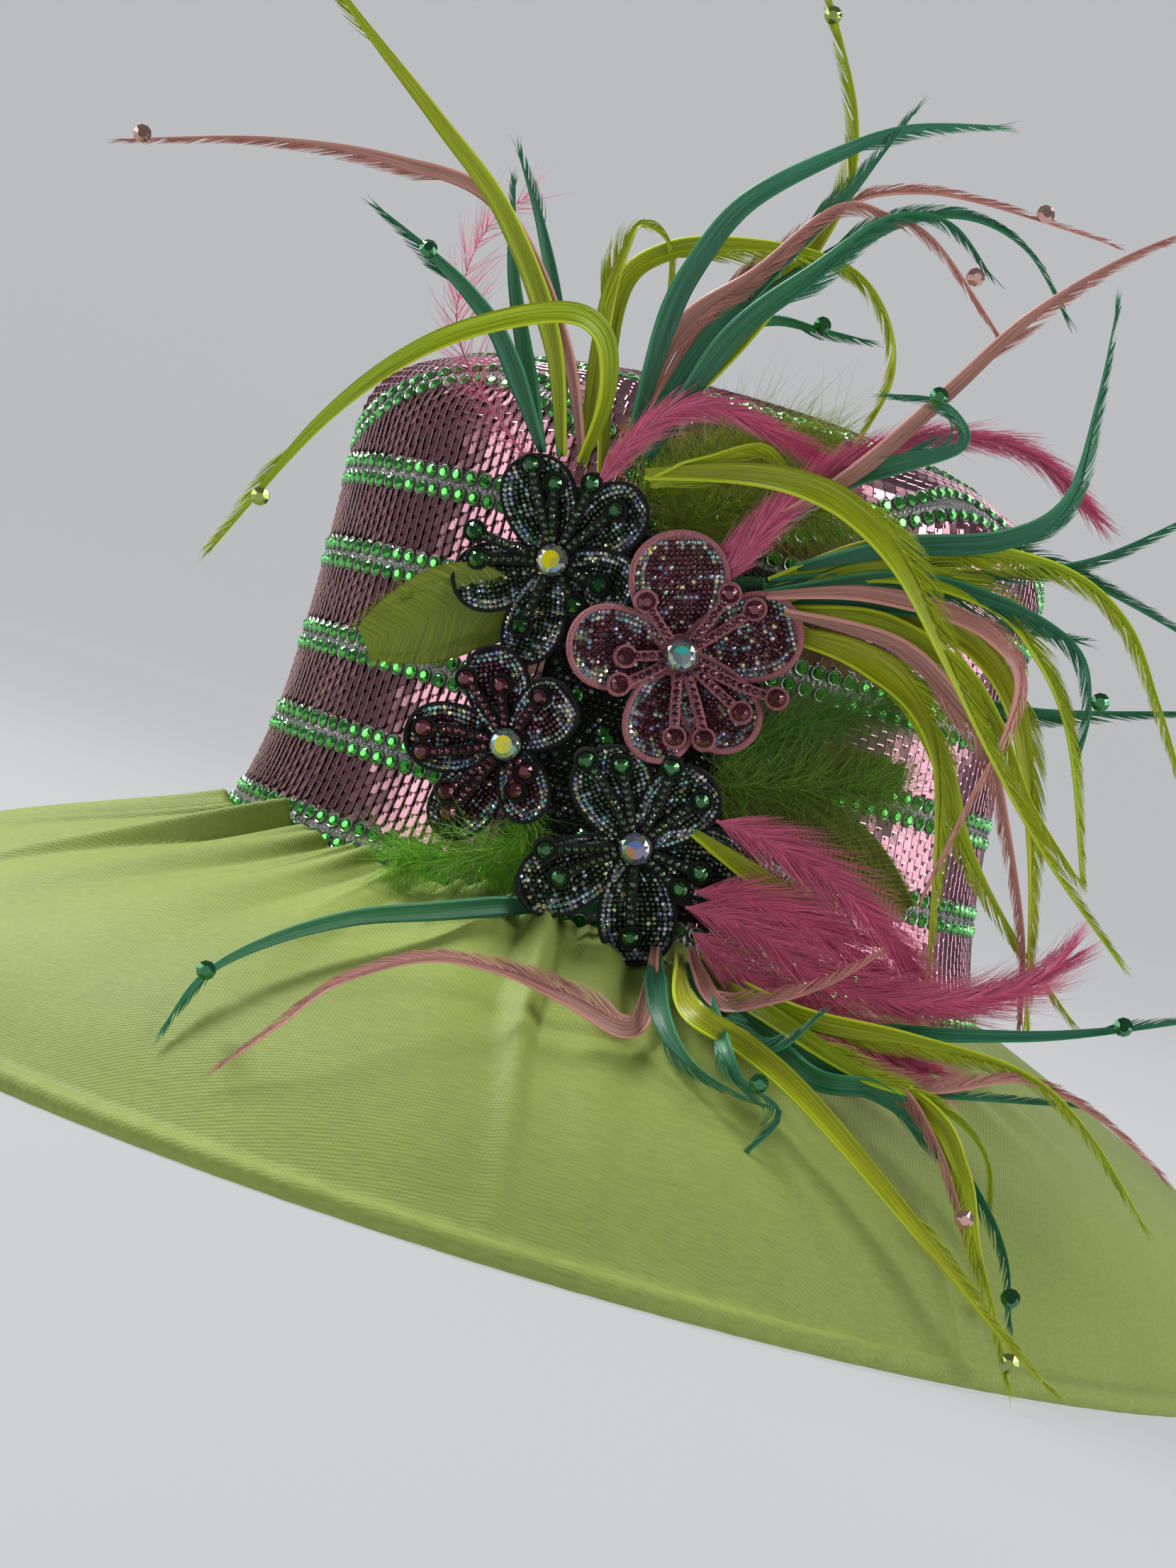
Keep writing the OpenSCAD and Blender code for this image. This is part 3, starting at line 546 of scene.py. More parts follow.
class Shape:
    """Gathers vertices, faces, tints and map places, and makes one Blender object of them."""

    def __init__(self):
        self.verts = []
        self.tints = []
        self.maps = []
        self.faces = []
        self.count = 0

    def add(self, verts, faces, tint=(1, 1, 1), slot=0, maps=None):
        """faces is a list of arrays, each with one row of vertex numbers per face."""
        verts = np.asarray(verts, float).reshape(-1, 3)
        self.verts.append(verts)
        self.tints.append(np.broadcast_to(np.asarray(tint, float), (len(verts), 3)))
        maps = np.zeros((len(verts), 2)) if maps is None else np.asarray(maps, float)
        self.maps.append(maps.reshape(-1, 2))
        for rows in faces:
            self.faces.append((np.asarray(rows, np.int64) + self.count, slot))
        self.count += len(verts)

    def copies(self, base, places, axes, size=1.0, tint=(1, 1, 1), slot=0):
        """Copies of base = (verts, faces) at places, turned to axes = (x, y, z) rows, each tinted."""
        verts, faces = base
        places = np.asarray(places, float)
        size = np.asarray(size, float).reshape(-1, 1, 1)
        turned = np.einsum("vk,nkc->nvc", verts, np.stack(axes, 1)) * size + places[:, None, :]
        tint = np.broadcast_to(np.asarray(tint, float), (len(places), 3))
        self.add(turned, repeated(faces, len(verts), len(places)), np.repeat(tint, len(verts), 0), slot)

    def add_loop(self, rows, tint=(1, 1, 1), slot=0):
        """A grid of points that closes on itself both ways."""
        self.add(rows, [grid_faces(*rows.shape[:2], closed=True, around=True)], tint, slot)

    def make(self, name, materials, slot, replaces=(), smooth=False):
        """The object, riding on the hat, with its materials and the CAD nodes that it stands for."""
        mesh = bpy.data.meshes.new(name)
        verts = np.concatenate(self.verts) * MM
        sizes = np.concatenate([np.full(len(rows), rows.shape[1]) for rows, _ in self.faces])
        corners = np.concatenate([rows.ravel() for rows, _ in self.faces])
        slots = np.concatenate([np.full(len(rows), index) for rows, index in self.faces])
        mesh.vertices.add(len(verts))
        mesh.vertices.foreach_set("co", verts.ravel())
        mesh.loops.add(len(corners))
        mesh.loops.foreach_set("vertex_index", corners)
        mesh.polygons.add(len(sizes))
        mesh.polygons.foreach_set("loop_start", np.concatenate([[0], np.cumsum(sizes)[:-1]]))
        mesh.polygons.foreach_set("material_index", slots)
        mesh.polygons.foreach_set("use_smooth", np.full(len(sizes), smooth))
        tint = mesh.attributes.new("tint", "FLOAT_COLOR", "POINT")
        tints = np.concatenate(self.tints)
        tint.data.foreach_set("color", np.concatenate([tints, np.ones((len(tints), 1))], 1).ravel())
        vane = mesh.uv_layers.new(name="vane")
        vane.data.foreach_set("uv", np.concatenate(self.maps)[corners].ravel())
        mesh.update(calc_edges=True)
        mesh.validate()
        piece = bpy.data.objects.new(name, mesh)
        bpy.context.collection.objects.link(piece)
        for material in materials:
            mesh.materials.append(material)
        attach(piece, "root")
        if replaces:
            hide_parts(*replaces)
        return piece


def grid_faces(rows, columns, closed=False, around=False):
    """Quads of a grid of rows by columns points; closed joins its last column to its first."""
    i = np.arange(rows if around else rows - 1)[:, None]
    j = np.arange(columns if closed else columns - 1)[None, :]
    down, right = (i + 1) % rows, (j + 1) % columns
    quads = np.stack([i * columns + j, i * columns + right, down * columns + right, down * columns + j], -1)
    return quads.reshape(-1, 4)


def capped(rows, columns):
    """Faces of a closed tube of rows rings with columns points each, and a flat cap at each end."""
    ring = np.arange(columns)[None, :]
    return [grid_faces(rows, columns, closed=True), ring[:, ::-1], ring + (rows - 1) * columns]


def facets(low, high, sides):
    """Triangles between two rings that start at vertices low and high, the second half a step on."""
    k = np.arange(sides)
    n = (k + 1) % sides
    return [np.stack([low + k, low + n, high + k], -1), np.stack([low + n, high + n, high + k], -1)]


def repeated(faces, many, count):
    """The faces of one copy of many vertices, repeated for count copies."""
    shift = (np.arange(count) * many)[:, None, None]
    return [(np.asarray(rows)[None] + shift).reshape(-1, np.shape(rows)[1]) for rows in faces]


def tube(path, radii, sides=6, squash=1.0, hint=(0.13, 0.21, 1.0)):
    """A closed tube along a path, with a radius at each point and a fan at each end."""
    path = np.asarray(path, float)
    radii = np.asarray(radii, float)
    along = unit(np.gradient(path, axis=0))
    side = unit(np.cross(along, hint))
    other = np.cross(along, side)
    ring = circle(sides)
    rings = ring[:, :1] * side[:, None] + squash * ring[:, 1:] * other[:, None]
    rings = path[:, None] + radii[:, None, None] * rings
    verts = np.concatenate([rings.reshape(-1, 3), path[:1], path[-1:]])
    end = len(path) * sides
    k = np.arange(sides)
    n = (k + 1) % sides
    head = np.stack([n, k, np.full(sides, end)], -1)
    tail = np.stack([end - sides + k, end - sides + n, np.full(sides, end + 1)], -1)
    return verts, [grid_faces(len(path), sides, closed=True), head, tail]


def cut_stone(sides=8, table=0.55, height=0.42, skirt=0.3):
    """A faceted stone of radius 1 that faces +Z: skirt, twisted crown facets and flat table."""
    ring, top = circle(sides), circle(sides, TAU / sides / 2) * table
    verts = np.vstack([at_height(ring, -skirt), at_height(ring, 0), at_height(top, height)])
    k = np.arange(sides)[None, :]
    front, back = 2 * sides + k, k[:, ::-1]
    return verts, [grid_faces(2, sides, closed=True), *facets(sides, 2 * sides, sides), front, back]


def stone_cup(sides=10, outer=1.28, height=0.2, depth=0.3):
    """The setting round a stone of radius 1: a low ring."""
    rows = [(outer, -depth), (outer, height * 0.4), (outer * 0.92, height), (0.96, height * 0.6)]
    verts = np.vstack([at_height(circle(sides) * r, z) for r, z in rows])
    return verts, [grid_faces(len(rows), sides, closed=True)]


def spin(around, upward, angle):
    """The two in-surface axes turned by an angle each."""
    c, s = np.cos(angle)[:, None], np.sin(angle)[:, None]
    return around * c + upward * s, upward * c - around * s


# ---- Colours, and the sizes of sequins and band stones ----

SATIN = (0.335, 0.425, 0.098)
STONE_GREEN = (0.10, 0.62, 0.10)
SEQUIN = (0.47, 0.245, 0.30)
EMERALD = (0.034, 0.225, 0.105)
LIME = (0.46, 0.56, 0.008)
ROSE = (0.62, 0.29, 0.24)
HOT_PINK = (0.82, 0.19, 0.35)
OLIVE = (0.24, 0.31, 0.014)
FLASHES = [(0.85, 0.9, 0.95), (0.4, 0.55, 0.85), (0.4, 0.8, 0.8), (0.95, 0.9, 0.5), (0.55, 0.5, 0.75),
           (0.5, 0.75, 0.55), (0.85, 0.88, 0.8), (0.35, 0.38, 0.42)]

SEQUIN_WIDE = 3.15
SEQUIN_LONG = 4.5
SEQUIN_STEP = 3.3
SEQUIN_ROWS = 2.7
STONE_PITCH = 4.35
STONE_SIZE = 1.62
ROW_GAP = 2.35

rng = np.random.default_rng(7)


def varied(color, count, spread=0.15):
    """A colour repeated with a random brightness for each copy."""
    return np.asarray(color) * (1 + spread * rng.uniform(-1, 1, (count, 1)))


# ---- Crown ----


def stone_rows(shape, t, z):
    """Round green stones in their settings at angles t and heights z."""
    place, around, upward, normal = crown_frames(t, z, 1.35)
    around, upward = spin(around, upward, rng.uniform(0, TAU, len(t)))
    axes = leaned((around, upward, normal), rng.uniform(-0.06, 0.06, (len(t), 2)))
    shape.copies(cut_stone(), place, axes, STONE_SIZE, varied(STONE_GREEN, len(t), 0.25), 0)
    shape.copies(stone_cup(), place, axes, STONE_SIZE, varied((0.20, 0.27, 0.20), len(t), 0.2), 1)


def band_strip(shape, low, high, amp):
    """The clear mesh that the stones are set in, ribbed along its length."""
    t = turns(720)
    rib = 0.18 * (np.arange(len(t)) % 2)
    rows = [(low, 0.15), (low, 0.7), ((low + high) / 2, 1.0), (high, 0.7), (high, 0.15)]
    strip = np.stack([crown_point(t, z + wave(t, amp), off + rib * (off > 0.5)) for z, off in rows])
    shape.add_loop(strip, (0.27, 0.25, 0.25), 2)


def stone_band(name, node, low, high, gap, amp, mats):
    """Two rows of stones round the crown, each a gap from the middle, small beads and the mesh under them."""
    shape = Shape()
    middle = (low + high) / 2
    for k, z in enumerate((middle - gap, middle + gap)):
        t = even_angles(z, STONE_PITCH, amp)
        t = t + 0.5 * k * TAU / len(t)
        stone_rows(shape, t, z + wave(t, amp))
    beads = even_angles(middle, 1.45, amp)
    place, *axes = crown_frames(beads, middle + wave(beads, amp), 1.1)
    shape.copies(cut_stone(5, 0.5, 0.5), place, axes, 0.42, varied((0.34, 0.36, 0.34), len(beads), 0.4), 1)
    band_strip(shape, low, high, amp)
    shape.make(name, mats, "band_stones", [node])


def sequin_plate():
    """One sequin, 1 wide and 1 long: a flat face with its ends, and its two long edges. (face, edges)"""
    corner = 0.36
    outline = np.array([(-0.5, -corner), (-corner, -0.5), (corner, -0.5), (0.5, -corner),
                        (0.5, corner), (corner, 0.5), (-corner, 0.5), (-0.5, corner)])
    ring, top, low = at_height(outline * 0.88, 0.11), at_height(outline, 0.14), at_height(outline, 0)
    k = np.arange(8)
    n = (k + 1) % 8
    middle = np.stack([k, n, np.full(8, 24)], -1)
    bevel = np.stack([k, 8 + k, 8 + n, n], -1)
    wall = np.stack([16 + k, 16 + n, 8 + n, 8 + k], -1)
    ends, edges = np.delete(wall, (3, 7), 0), wall[[3, 7]]
    verts = np.vstack([ring, top, low, [[0, 0, 0.105]]])
    return (verts, [middle, bevel, ends, 16 + k[None, ::-1]]), (verts[8:24], [edges - 8])


def sequins(shape, t, z, ringwise=False):
    """Overlapping sequins in columns that run up, or in rows that run round, each with its stitch."""
    place, around, upward, normal = crown_frames(t, z, 0.7)
    axes = (upward, -around, normal) if ringwise else (around, upward, normal)
    roll = 0.2 + rng.normal(0, 0.025, (len(t), 1))
    nod = -0.06 + rng.normal(0, 0.02, (len(t), 1))
    across, along, out = leaned(axes, -np.hstack([roll, nod]))
    scaled = (across * SEQUIN_WIDE, along * SEQUIN_LONG, out * 2.4)
    face, rim = sequin_plate()
    shape.copies(face, place, scaled, 1.0, varied(SEQUIN, len(t), 0.1), 0)
    # The long edges are tinted pale pink (1.0, 0.72, 0.76): a painted highlight of the edges catching light.
    shape.copies(rim, place, scaled, 1.0, varied((1.0, 0.72, 0.76), len(t), 0.1), 1)
    stitch = tube([(0, -0.26, 0), (0, -0.1, 0.03), (0, 0.1, 0.03), (0, 0.26, 0)], [0.05, 0.09, 0.09, 0.05], 4)
    lifted = place + along * (SEQUIN_LONG * 0.2) + out * 0.24
    shape.copies(stitch, lifted, (across, along, out), 2.6, (0.16, 0.08, 0.10), 2)


def sequin_columns(name, node, low, high, mats, wavy_top=False):
    """Columns of sequins that run up between two bands, each second one half a step higher."""
    columns = 212
    t0 = even_angles(50.0, 1.0)
    t0 = np.interp(np.arange(columns) / columns * len(t0), np.arange(len(t0) + 1), np.append(t0, TAU))
    top = high + (2 * WAVE_AMP if wavy_top else 0)
    rows = np.arange(low + SEQUIN_STEP * 0.45, top, SEQUIN_STEP)
    t, z = (a.ravel() for a in np.meshgrid(t0, rows))
    z = z + np.tile(np.arange(columns) % 2, len(rows)) * SEQUIN_STEP * 0.5
    keep = z < (wave_height(t) - BAND_W / 2 + 1.2 if wavy_top else high + 0.3)
    shape = Shape()
    sequins(shape, t[keep], z[keep])
    shape.make(name, mats, "pink_sequins", [node])


def sequin_rings(name, node, heights, mats, wavy_low=False):
    """Rows of sequins that run round the crown."""
    shape = Shape()
    for z0 in heights:
        t = even_angles(z0, SEQUIN_STEP)
        if wavy_low:
            t = t[z0 > wave_height(t) + BAND_W / 2 - 1.2]
        sequins(shape, t, np.full(len(t), z0), ringwise=True)
    shape.make(name, mats, "pink_sequins", [node])


def heights_by_arc(low, high, pitch):
    """Heights on the crown between two, a pitch apart along its surface."""
    z = high - (high - low) * np.linspace(1, 0, 400) ** 4
    run = arc_run(crown_point(0.0, z))
    return np.interp(np.arange(pitch / 2, run[-1], pitch), run, z)


def build_crown():
    """The stone bands and the sequins between them, from the base up to the tip."""
    stones = [tinted("band_stone", 0.07, metal=0.9, coat=0.6), tinted("stone_setting", 0.28, metal=0.7),
              tinted("clear_mesh", 0.35, metal=0.2, coat=0.4, scale=1500, spots=0.25, grain=0.3)]
    # The second plate material is for the sequins' long edges, whose pale tint is a painted highlight.
    plates = [tinted("sequin_face", 0.2, metal=1.0, scale=900, spots=0.05),
              tinted("sequin_edge_highlight", 0.3, metal=0.3, scale=900, spots=0.1),
              tinted("sequin_thread", 0.7, scale=2500, spots=0.2)]
    half = BAND_W / 2
    hem = half - 0.2
    for k in range(1, 6):
        middle = BAND_FIRST + BAND_STEP * (k - 1)
        stone_band(f"stones_{k}", f"stone_band_{k}", middle - hem, middle + hem, ROW_GAP, 0.0, stones)
        high = middle + BAND_STEP - half if k < 5 else WAVE_Z - half - WAVE_AMP
        sequin_columns(f"sequins_{k}", f"sequin_tier_{k}", middle + half, high, plates, wavy_top=k == 5)
    stone_band("stones_wave", "wave_band", WAVE_Z - hem, WAVE_Z + hem, ROW_GAP, WAVE_AMP, stones)
    low, high = TIP_BAND
    stone_band("stones_tip", "tip_band", low, high, (high - low) / 4, 0.0, stones)
    shoulder = heights_by_arc(WAVE_Z - WAVE_AMP, low - 0.2, SEQUIN_ROWS)
    sequin_rings("sequins_6", "sequin_tier_6", shoulder, plates, wavy_low=True)
    sequin_rings("sequins_tip", "sequin_tip", heights_by_arc(high + 0.2, CROWN_H, SEQUIN_ROWS), plates)


# ---- Brim ----


def ripple(t, u, seed, terms, low, high, skew=0.0):
    """Smooth seeded waves round the brim; skew makes them sweep sideways as they go out."""
    draw = np.random.default_rng(seed)
    total = np.zeros(np.broadcast(t, u).shape)
    for _ in range(terms):
        count = draw.integers(low, high)
        total = total + np.sin(count * (t + skew * u) + draw.uniform(0, TAU)) / math.sqrt(terms)
    return total


def hill(t, middle, width):
    """1 at an angle in degrees and falling off round it over a width in degrees."""
    away = np.angle(np.exp(1j * (t - math.radians(middle))))
    return np.exp(-(away / math.radians(width)) ** 2)


def gathers(t, u):
    """Height of the satin's folds over the stiff brim, in mm: two sets of bulges between creases.

    Each set has its count round the brim, its height, its reach out over the brim (a share of the width)
    and the share over which the bulges turn from sharp to round. Both are stronger near the trim.
    """
    draw = np.random.default_rng(5)
    height = np.zeros(t.shape)
    out = np.clip(u, 0, 1)
    for count, tall, reach, soft in ((104, 1.5, 0.16, 0.3), (42, 4.4, 0.62, 0.9)):
        crease = (np.arange(count) + draw.uniform(-0.36, 0.36, count)) / count * TAU
        middle = crease + TAU / count / 2
        strong = 0.4 + 0.9 * hill(middle, 40, 34) + 1.6 * hill(middle, 93, 28)
        tall_k = tall * strong * draw.uniform(0.35, 1.25, count)
        far = 0.55 + 0.8 * hill(middle, 36, 32) + 0.3 * hill(middle, 95, 25)
        reach_k = reach * far * draw.uniform(0.6, 1.3, count)
        sweep = -0.16 * hill(t, 36, 26) + 0.18 * hill(t, 80, 14) + 0.012 * np.sin(9 * t + 7 * out)
        place = (t - sweep * out - crease[0]) % TAU
        edges = np.append((crease - crease[0]) % TAU, TAU)
        k = np.clip(np.searchsorted(edges, place, side="right") - 1, 0, count - 1)
        f = ((place - edges[k]) / (edges[k + 1] - edges[k])) ** 1.5
        sharp = 1 - np.abs(2 * f - 1) ** 1.7
        round_top = 0.5 - 0.5 * np.cos(TAU * f)
        blend = np.clip(out / soft, 0, 1)
        fade = np.exp(-(out / reach_k[k]) ** 1.6)
        height = height + tall_k[k] * fade * (sharp + (round_top - sharp) * blend)
    slow = ripple(t + 0.1 * out, out, 8, 6, 6, 17, 0.12)
    slow = slow * np.clip(out * 4, 0, 1) * np.clip(1 - out, 0, 1) ** 0.7
    drape = (0.25 + 0.8 * hill(t, 95, 35) + 0.5 * hill(t, 30, 30)) * 1.6
    return np.clip((u - 0.004) / 0.03, 0, 1) * (height + drape * slow)


def edge_rows(t, radius, angles):
    """Rows of points round the wired edge, at angles from straight out."""
    q = np.radians(angles)[:, None]
    a = HEAD_A + BRIM_LONG + radius * np.cos(q)
    b = HEAD_A * HEAD_RATIO + BRIM_SIDE + radius * np.cos(q)
    z = -BRIM_DROP - EDGE_DROP + radius * np.sin(q)
    return np.stack([-b * np.sin(t), a * np.cos(t) + BRIM_SHIFT, z + 0 * t], -1)


def build_brim():
    """The satin over and under the stiff brim, the under one darker as painted shade, and the roll round its
    wire.
    """
    satin = weave("brim_satin_cloth", SATIN)
    # The underside is the same satin painted a fifth darker: painted shade under the brim.
    dark = weave("brim_underside_shaded_cloth", tuple(c * 0.8 for c in SATIN))
    thick = 0.35
    t = turns(1200)
    u = np.concatenate([[-0.016, 0.0, 0.012], np.linspace(0.022, 0.2, 22), np.linspace(0.215, 0.985, 54)])
    grid_t, grid_u = np.meshgrid(t, u)
    fillet = 0.5 * np.clip((grid_u - 0.95) / 0.035, 0, 1) ** 2
    flat = brim_point(grid_t, grid_u, gathers(grid_t, grid_u) + fillet)
    pucker = 0.05 * np.sin(190 * t) + 0.07 * ripple(t, t * 0, 31, 6, 60, 160)
    over = np.linspace(95, -65, 10)
    top = Shape()
    back = np.concatenate([flat - (0, 0, thick), edge_rows(t, EDGE_R + 0.1 + pucker, over)])
    top.add_loop(np.concatenate([flat, edge_rows(t, EDGE_R + 0.45 + pucker, over), back[::-1]]))
    cloth = top.make("brim_satin_top", [satin], "brim_satin", ["brim_cover_top"], smooth=True)
    grid_t, grid_u = np.meshgrid(turns(480), np.linspace(-0.016, 0.985, 40))
    folds = 0.21 * np.clip(ripple(grid_t, grid_u, 21, 6, 12, 40), -1, 1) * np.exp(-grid_u / 0.35)
    flat = brim_point(grid_t, grid_u, -3.3 + folds)
    under = Shape()
    under.add_loop(np.concatenate([flat, flat[::-1] + (0, 0, thick)]))
    cloth = under.make("brim_satin_under", [dark], "brim_satin", ["brim_cover_under"], smooth=True)
    edge = Shape()
    edge.add_loop(edge_rows(turns(600), EDGE_R, np.arange(14) * 360 / 14))
    edge.make("brim_edge_roll", [satin], "brim_satin", ["brim_edge_binding"], smooth=True)


# ---- Inside the crown ----


def build_inside():
    """The gathered lining, the ribbon sweatband, and materials for the CAD parts that stay."""
    z = np.concatenate([np.linspace(14.5, SHOULDER_H, 26), heights_by_arc(SHOULDER_H, CROWN_H - 0.4, 3.5)])
    grid_t, grid_z = np.meshgrid(turns(480), z)
    folds = 0.25 * np.sin(48 * grid_t) * np.clip((grid_z - 30) / 60, 0, 1)
    lining = Shape()
    lining.add_loop(np.concatenate([crown_point(grid_t, grid_z, -2.2 + folds),
                                    crown_point(grid_t, grid_z, -1.8)[::-1]]))
    top = crown_point(turns(32), CROWN_H - 0.5, -1.9)
    k = np.arange(32)
    lining.add(np.vstack([top, top.mean(0)]), [np.stack([(k + 1) % 32, k, np.full(32, 32)], -1)])
    lining.make("gathered_lining", [weave("lining_cloth", (0.06, 0.07, 0.045), rough=0.35)], "lining_satin",
                ["crown_lining"], smooth=True)
    ribbon = Shape()
    rows = [(0.2, -3.1), (0.2, -3.9), (13, -4.05), (26.3, -3.9), (26.8, -3.5), (26.8, -3.0), (13, -3.0)]
    t = turns(1440)
    rib = 0.12 * (np.arange(len(t)) % 2)
    ribbon.add_loop(np.stack([crown_point(t, z, off - rib * (off < -3.3)) for z, off in rows]))
    place, *axes = crown_frames(even_angles(25.0, 3.6), 25.2, -4.05)
    thread = tube([(-0.8, 0, 0), (0, 0, -0.12), (0.8, 0, 0)], [0.05, 0.14, 0.05], 5)
    ribbon.copies(thread, place, axes, 1.0, (0.05, 0.05, 0.05))
    grosgrain = plain("grosgrain", (0.018, 0.018, 0.018), 0.75, 0.3, 1800, bump=0.3, sheen=0.3)
    ribbon.make("ribbon_sweatband", [grosgrain], "sweatband_ribbon", ["sweatband"])
    buckram = plain("buckram_net", (0.5, 0.43, 0.3), 0.85, 0.25, 900, bump=0.5)
    for node in ("crown_side_shell", "crown_tip_shell", "headsize_collar", "brim_base"):
        repaint(node, buckram)
    repaint("brim_edge_wire", plain("wire_steel", (0.5, 0.5, 0.5), 0.35, 0.1, 800, metal=1.0))
    repaint("trim_pad", felt("backing_felt", (0.02, 0.02, 0.02)))


def repaint(node, material):
    """A CAD node keeps its shape and gets a material of this script."""
    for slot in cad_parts[node].material_slots:
        slot.material = material


# ---- Flowers ----


def flower_axes(tilt, turn):
    """Rows across, up and out of a flower that faces the wearer's right."""
    a, b = math.radians(tilt), math.radians(turn)
    lean = np.array([[1, 0, 0], [0, math.cos(a), math.sin(a)], [0, -math.sin(a), math.cos(a)]])
    swing = np.array([[math.cos(b), 0, -math.sin(b)], [0, 1, 0], [math.sin(b), 0, math.cos(b)]])
    side = np.array([[0, -1, 0], [0, 0, 1], [-1, 0, 0]], float)
    return lean @ swing @ side


def petal_width(s, width):
    """Half width of a petal at a share s of its length."""
    s = np.clip(s, 0, 1)
    return width * np.sqrt(s * (1 - s)) * (0.6 + 0.5 * s)


def petal_point(s, v, form):
    """Points at shares s of a petal's length and v of its half width; its tip rises and its sides curl up.

    form is ((angle in the flower, length, width), rise of the tip, cup of the sides).
    """
    (angle, length, width), rise, cup = form
    cos_a, sin_a = math.cos(math.radians(angle)), math.sin(math.radians(angle))
    x, y = length * s, petal_width(s, width) * v
    z = 0.5 + rise * s ** 1.6 + cup * v * v * (0.3 + 0.7 * s)
    return np.stack([x * cos_a - y * sin_a, x * sin_a + y * cos_a, z], -1)


def petal_frames(s, v, form):
    """Places and (along, across, normal) rows on a petal's face."""
    step = 0.01
    along = petal_point(s + step, v, form) - petal_point(s - step, v, form)
    across = petal_point(s, v + step, form) - petal_point(s, v - step, form)
    normal = unit(np.cross(along, across))
    along = unit(along)
    return petal_point(s, v, form), (along, np.cross(normal, along), normal)


def build_petal(felt_shape, stone_shape, form, inner, rim_r):
    """A cupped felt petal with a rolled rim, paved with stones that flash more along its border."""
    _, length, width = form[0]
    s = (1 - np.cos(np.linspace(0.06, 0.97, 22) * math.pi)) / 2
    v = np.linspace(-1, 1, 13)
    top = petal_point(*np.meshgrid(s, v, indexing="ij"), form)
    low = (top - (0, 0, PETAL_T * 0.8)) * (0.985, 0.985, 1)
    felt_shape.add(np.concatenate([top, low[:, ::-1]], 1), capped(len(s), 2 * len(v)))
    q = np.linspace(-0.985, 0.985, 60) * math.pi
    rim = petal_point((1 + np.cos(q)) / 2, np.sign(q), form)
    felt_shape.add(*tube(rim, np.full(len(q), rim_r), 8))
    pitch = 1.3
    border = 1.9
    spots = []
    for x in np.arange(2.2, length - rim_r - 0.4, pitch * 0.87):
        full = petal_width(x / length, width)
        half = full - rim_r - 0.35
        if half > 0:
            y = np.arange(-half, half + 0.01, 2 * half / max(1, round(2 * half / pitch)))
            edge = np.minimum(half - np.abs(y), 0.8 * (length - rim_r - x))
            spots.append(np.stack([np.full(len(y), x / length), y / full, edge]))
    s, v, edge = np.concatenate(spots, 1)
    set_stones(stone_shape, s, v, form, 0.68, np.where(edge < border, 0.85, 0.24), inner)


def set_stones(shape, s, v, form, size, share, inner):
    """Small round stones on a petal, each leaning a little its own way; share of them flash."""
    place, axes = petal_frames(s, v, form)
    count = len(s)
    axes = leaned(axes, rng.normal(0, 0.16, (count, 2)))
    flashes = np.array(FLASHES)[rng.integers(0, len(FLASHES), count)] * rng.uniform(0.35, 1.0, (count, 1))
    pick = (rng.random(count) < share)[:, None]
    tint = np.where(pick, flashes, varied(inner, count, 0.5))
    sizes = size * (1 + 0.12 * rng.uniform(-1, 1, count))
    shape.copies(cut_stone(7, 0.5, 0.5, 0.5), place + axes[2] * 0.35, axes, sizes, tint)


def build_stamen(felt_shape, stone_shape, angle, length, rise, color, end_color):
    """A raised felt strip with a row of stones that ends in a large one."""
    root = 4.4
    bend = rng.uniform(-9, 9)
    r = np.linspace(root, length - 2.0, 14)
    turn = np.radians(angle + bend * ((r - root) / length) ** 2)
    path = np.stack([r * np.cos(turn), r * np.sin(turn), 3.4 + rise * 0.85 * (r / 26) ** 1.6], -1)
    felt_shape.add(*tube(path, np.full(len(r), 1.25), 8, 0.6, (0, 0, 1)))
    along = unit(path[-1:] - path[-2])
    across = unit(np.cross((0, 0, 1.0), along))
    normal = np.cross(along, across)
    end = path[-1:] + along * 1.9
    axes = (along, across, normal)
    felt_shape.copies(stone_cup(16, 1.25, 0.3, 0.6), end, axes, 2.25)
    felt_shape.copies(cut_stone(16, 0.9, 0.0, 0.6), end, axes, 2.3)
    stone_shape.copies(cut_stone(12, 0.52, 0.45), end + normal * 0.75, axes, 1.95, varied(end_color, 1, 0.2))
    run = arc_run(path)
    places = at_spots(np.interp(np.arange(0.6, run[-1] - 0.4, 1.75), run, np.arange(len(r))), path)[0]
    many = len(places)
    normal = unit(normal + rng.normal(0, 0.12, (many, 3)) * (1, 1, 0))
    side = unit(np.cross(normal, along))
    axes = (np.cross(side, normal), side, normal)
    tint = varied(color, many, 0.35)
    stone_shape.copies(cut_stone(8, 0.5, 0.45, 0.5), places + (0, 0, 0.85), axes, 0.82, tint)


def centre_stone(shape, table_tints):
    """The large stone in a flower's middle, with three rings of facets and a table split in three."""
    sides = 12
    rings = [(3.8, 0.0), (3.85, 0.7), (3.2, 1.5), (2.2, 2.1)]
    base = PETAL_T + STAMEN_T + 1.4
    verts = np.vstack([at_height(circle(sides, k * TAU / sides / 2) * r, base + z)
                       for k, (r, z) in enumerate(rings)])
    for low in range(0, 3 * sides, sides):
        for row in np.concatenate(facets(low, low + sides, sides)):
            shape.add(verts[row], [np.array([[0, 1, 2]])], np.array(FLASHES)[rng.integers(0, 7)] * 0.6)
    shape.add(verts[:sides], [np.arange(sides)[None, ::-1]], (0.3, 0.3, 0.3))
    table = verts[-sides:]
    for part, tint in enumerate(table_tints):
        share = [(part * 4 + i) % sides for i in range(5)]
        shape.add(np.vstack([table[share], table.mean(0)]), [np.arange(6)[None, :]], tint, 1)


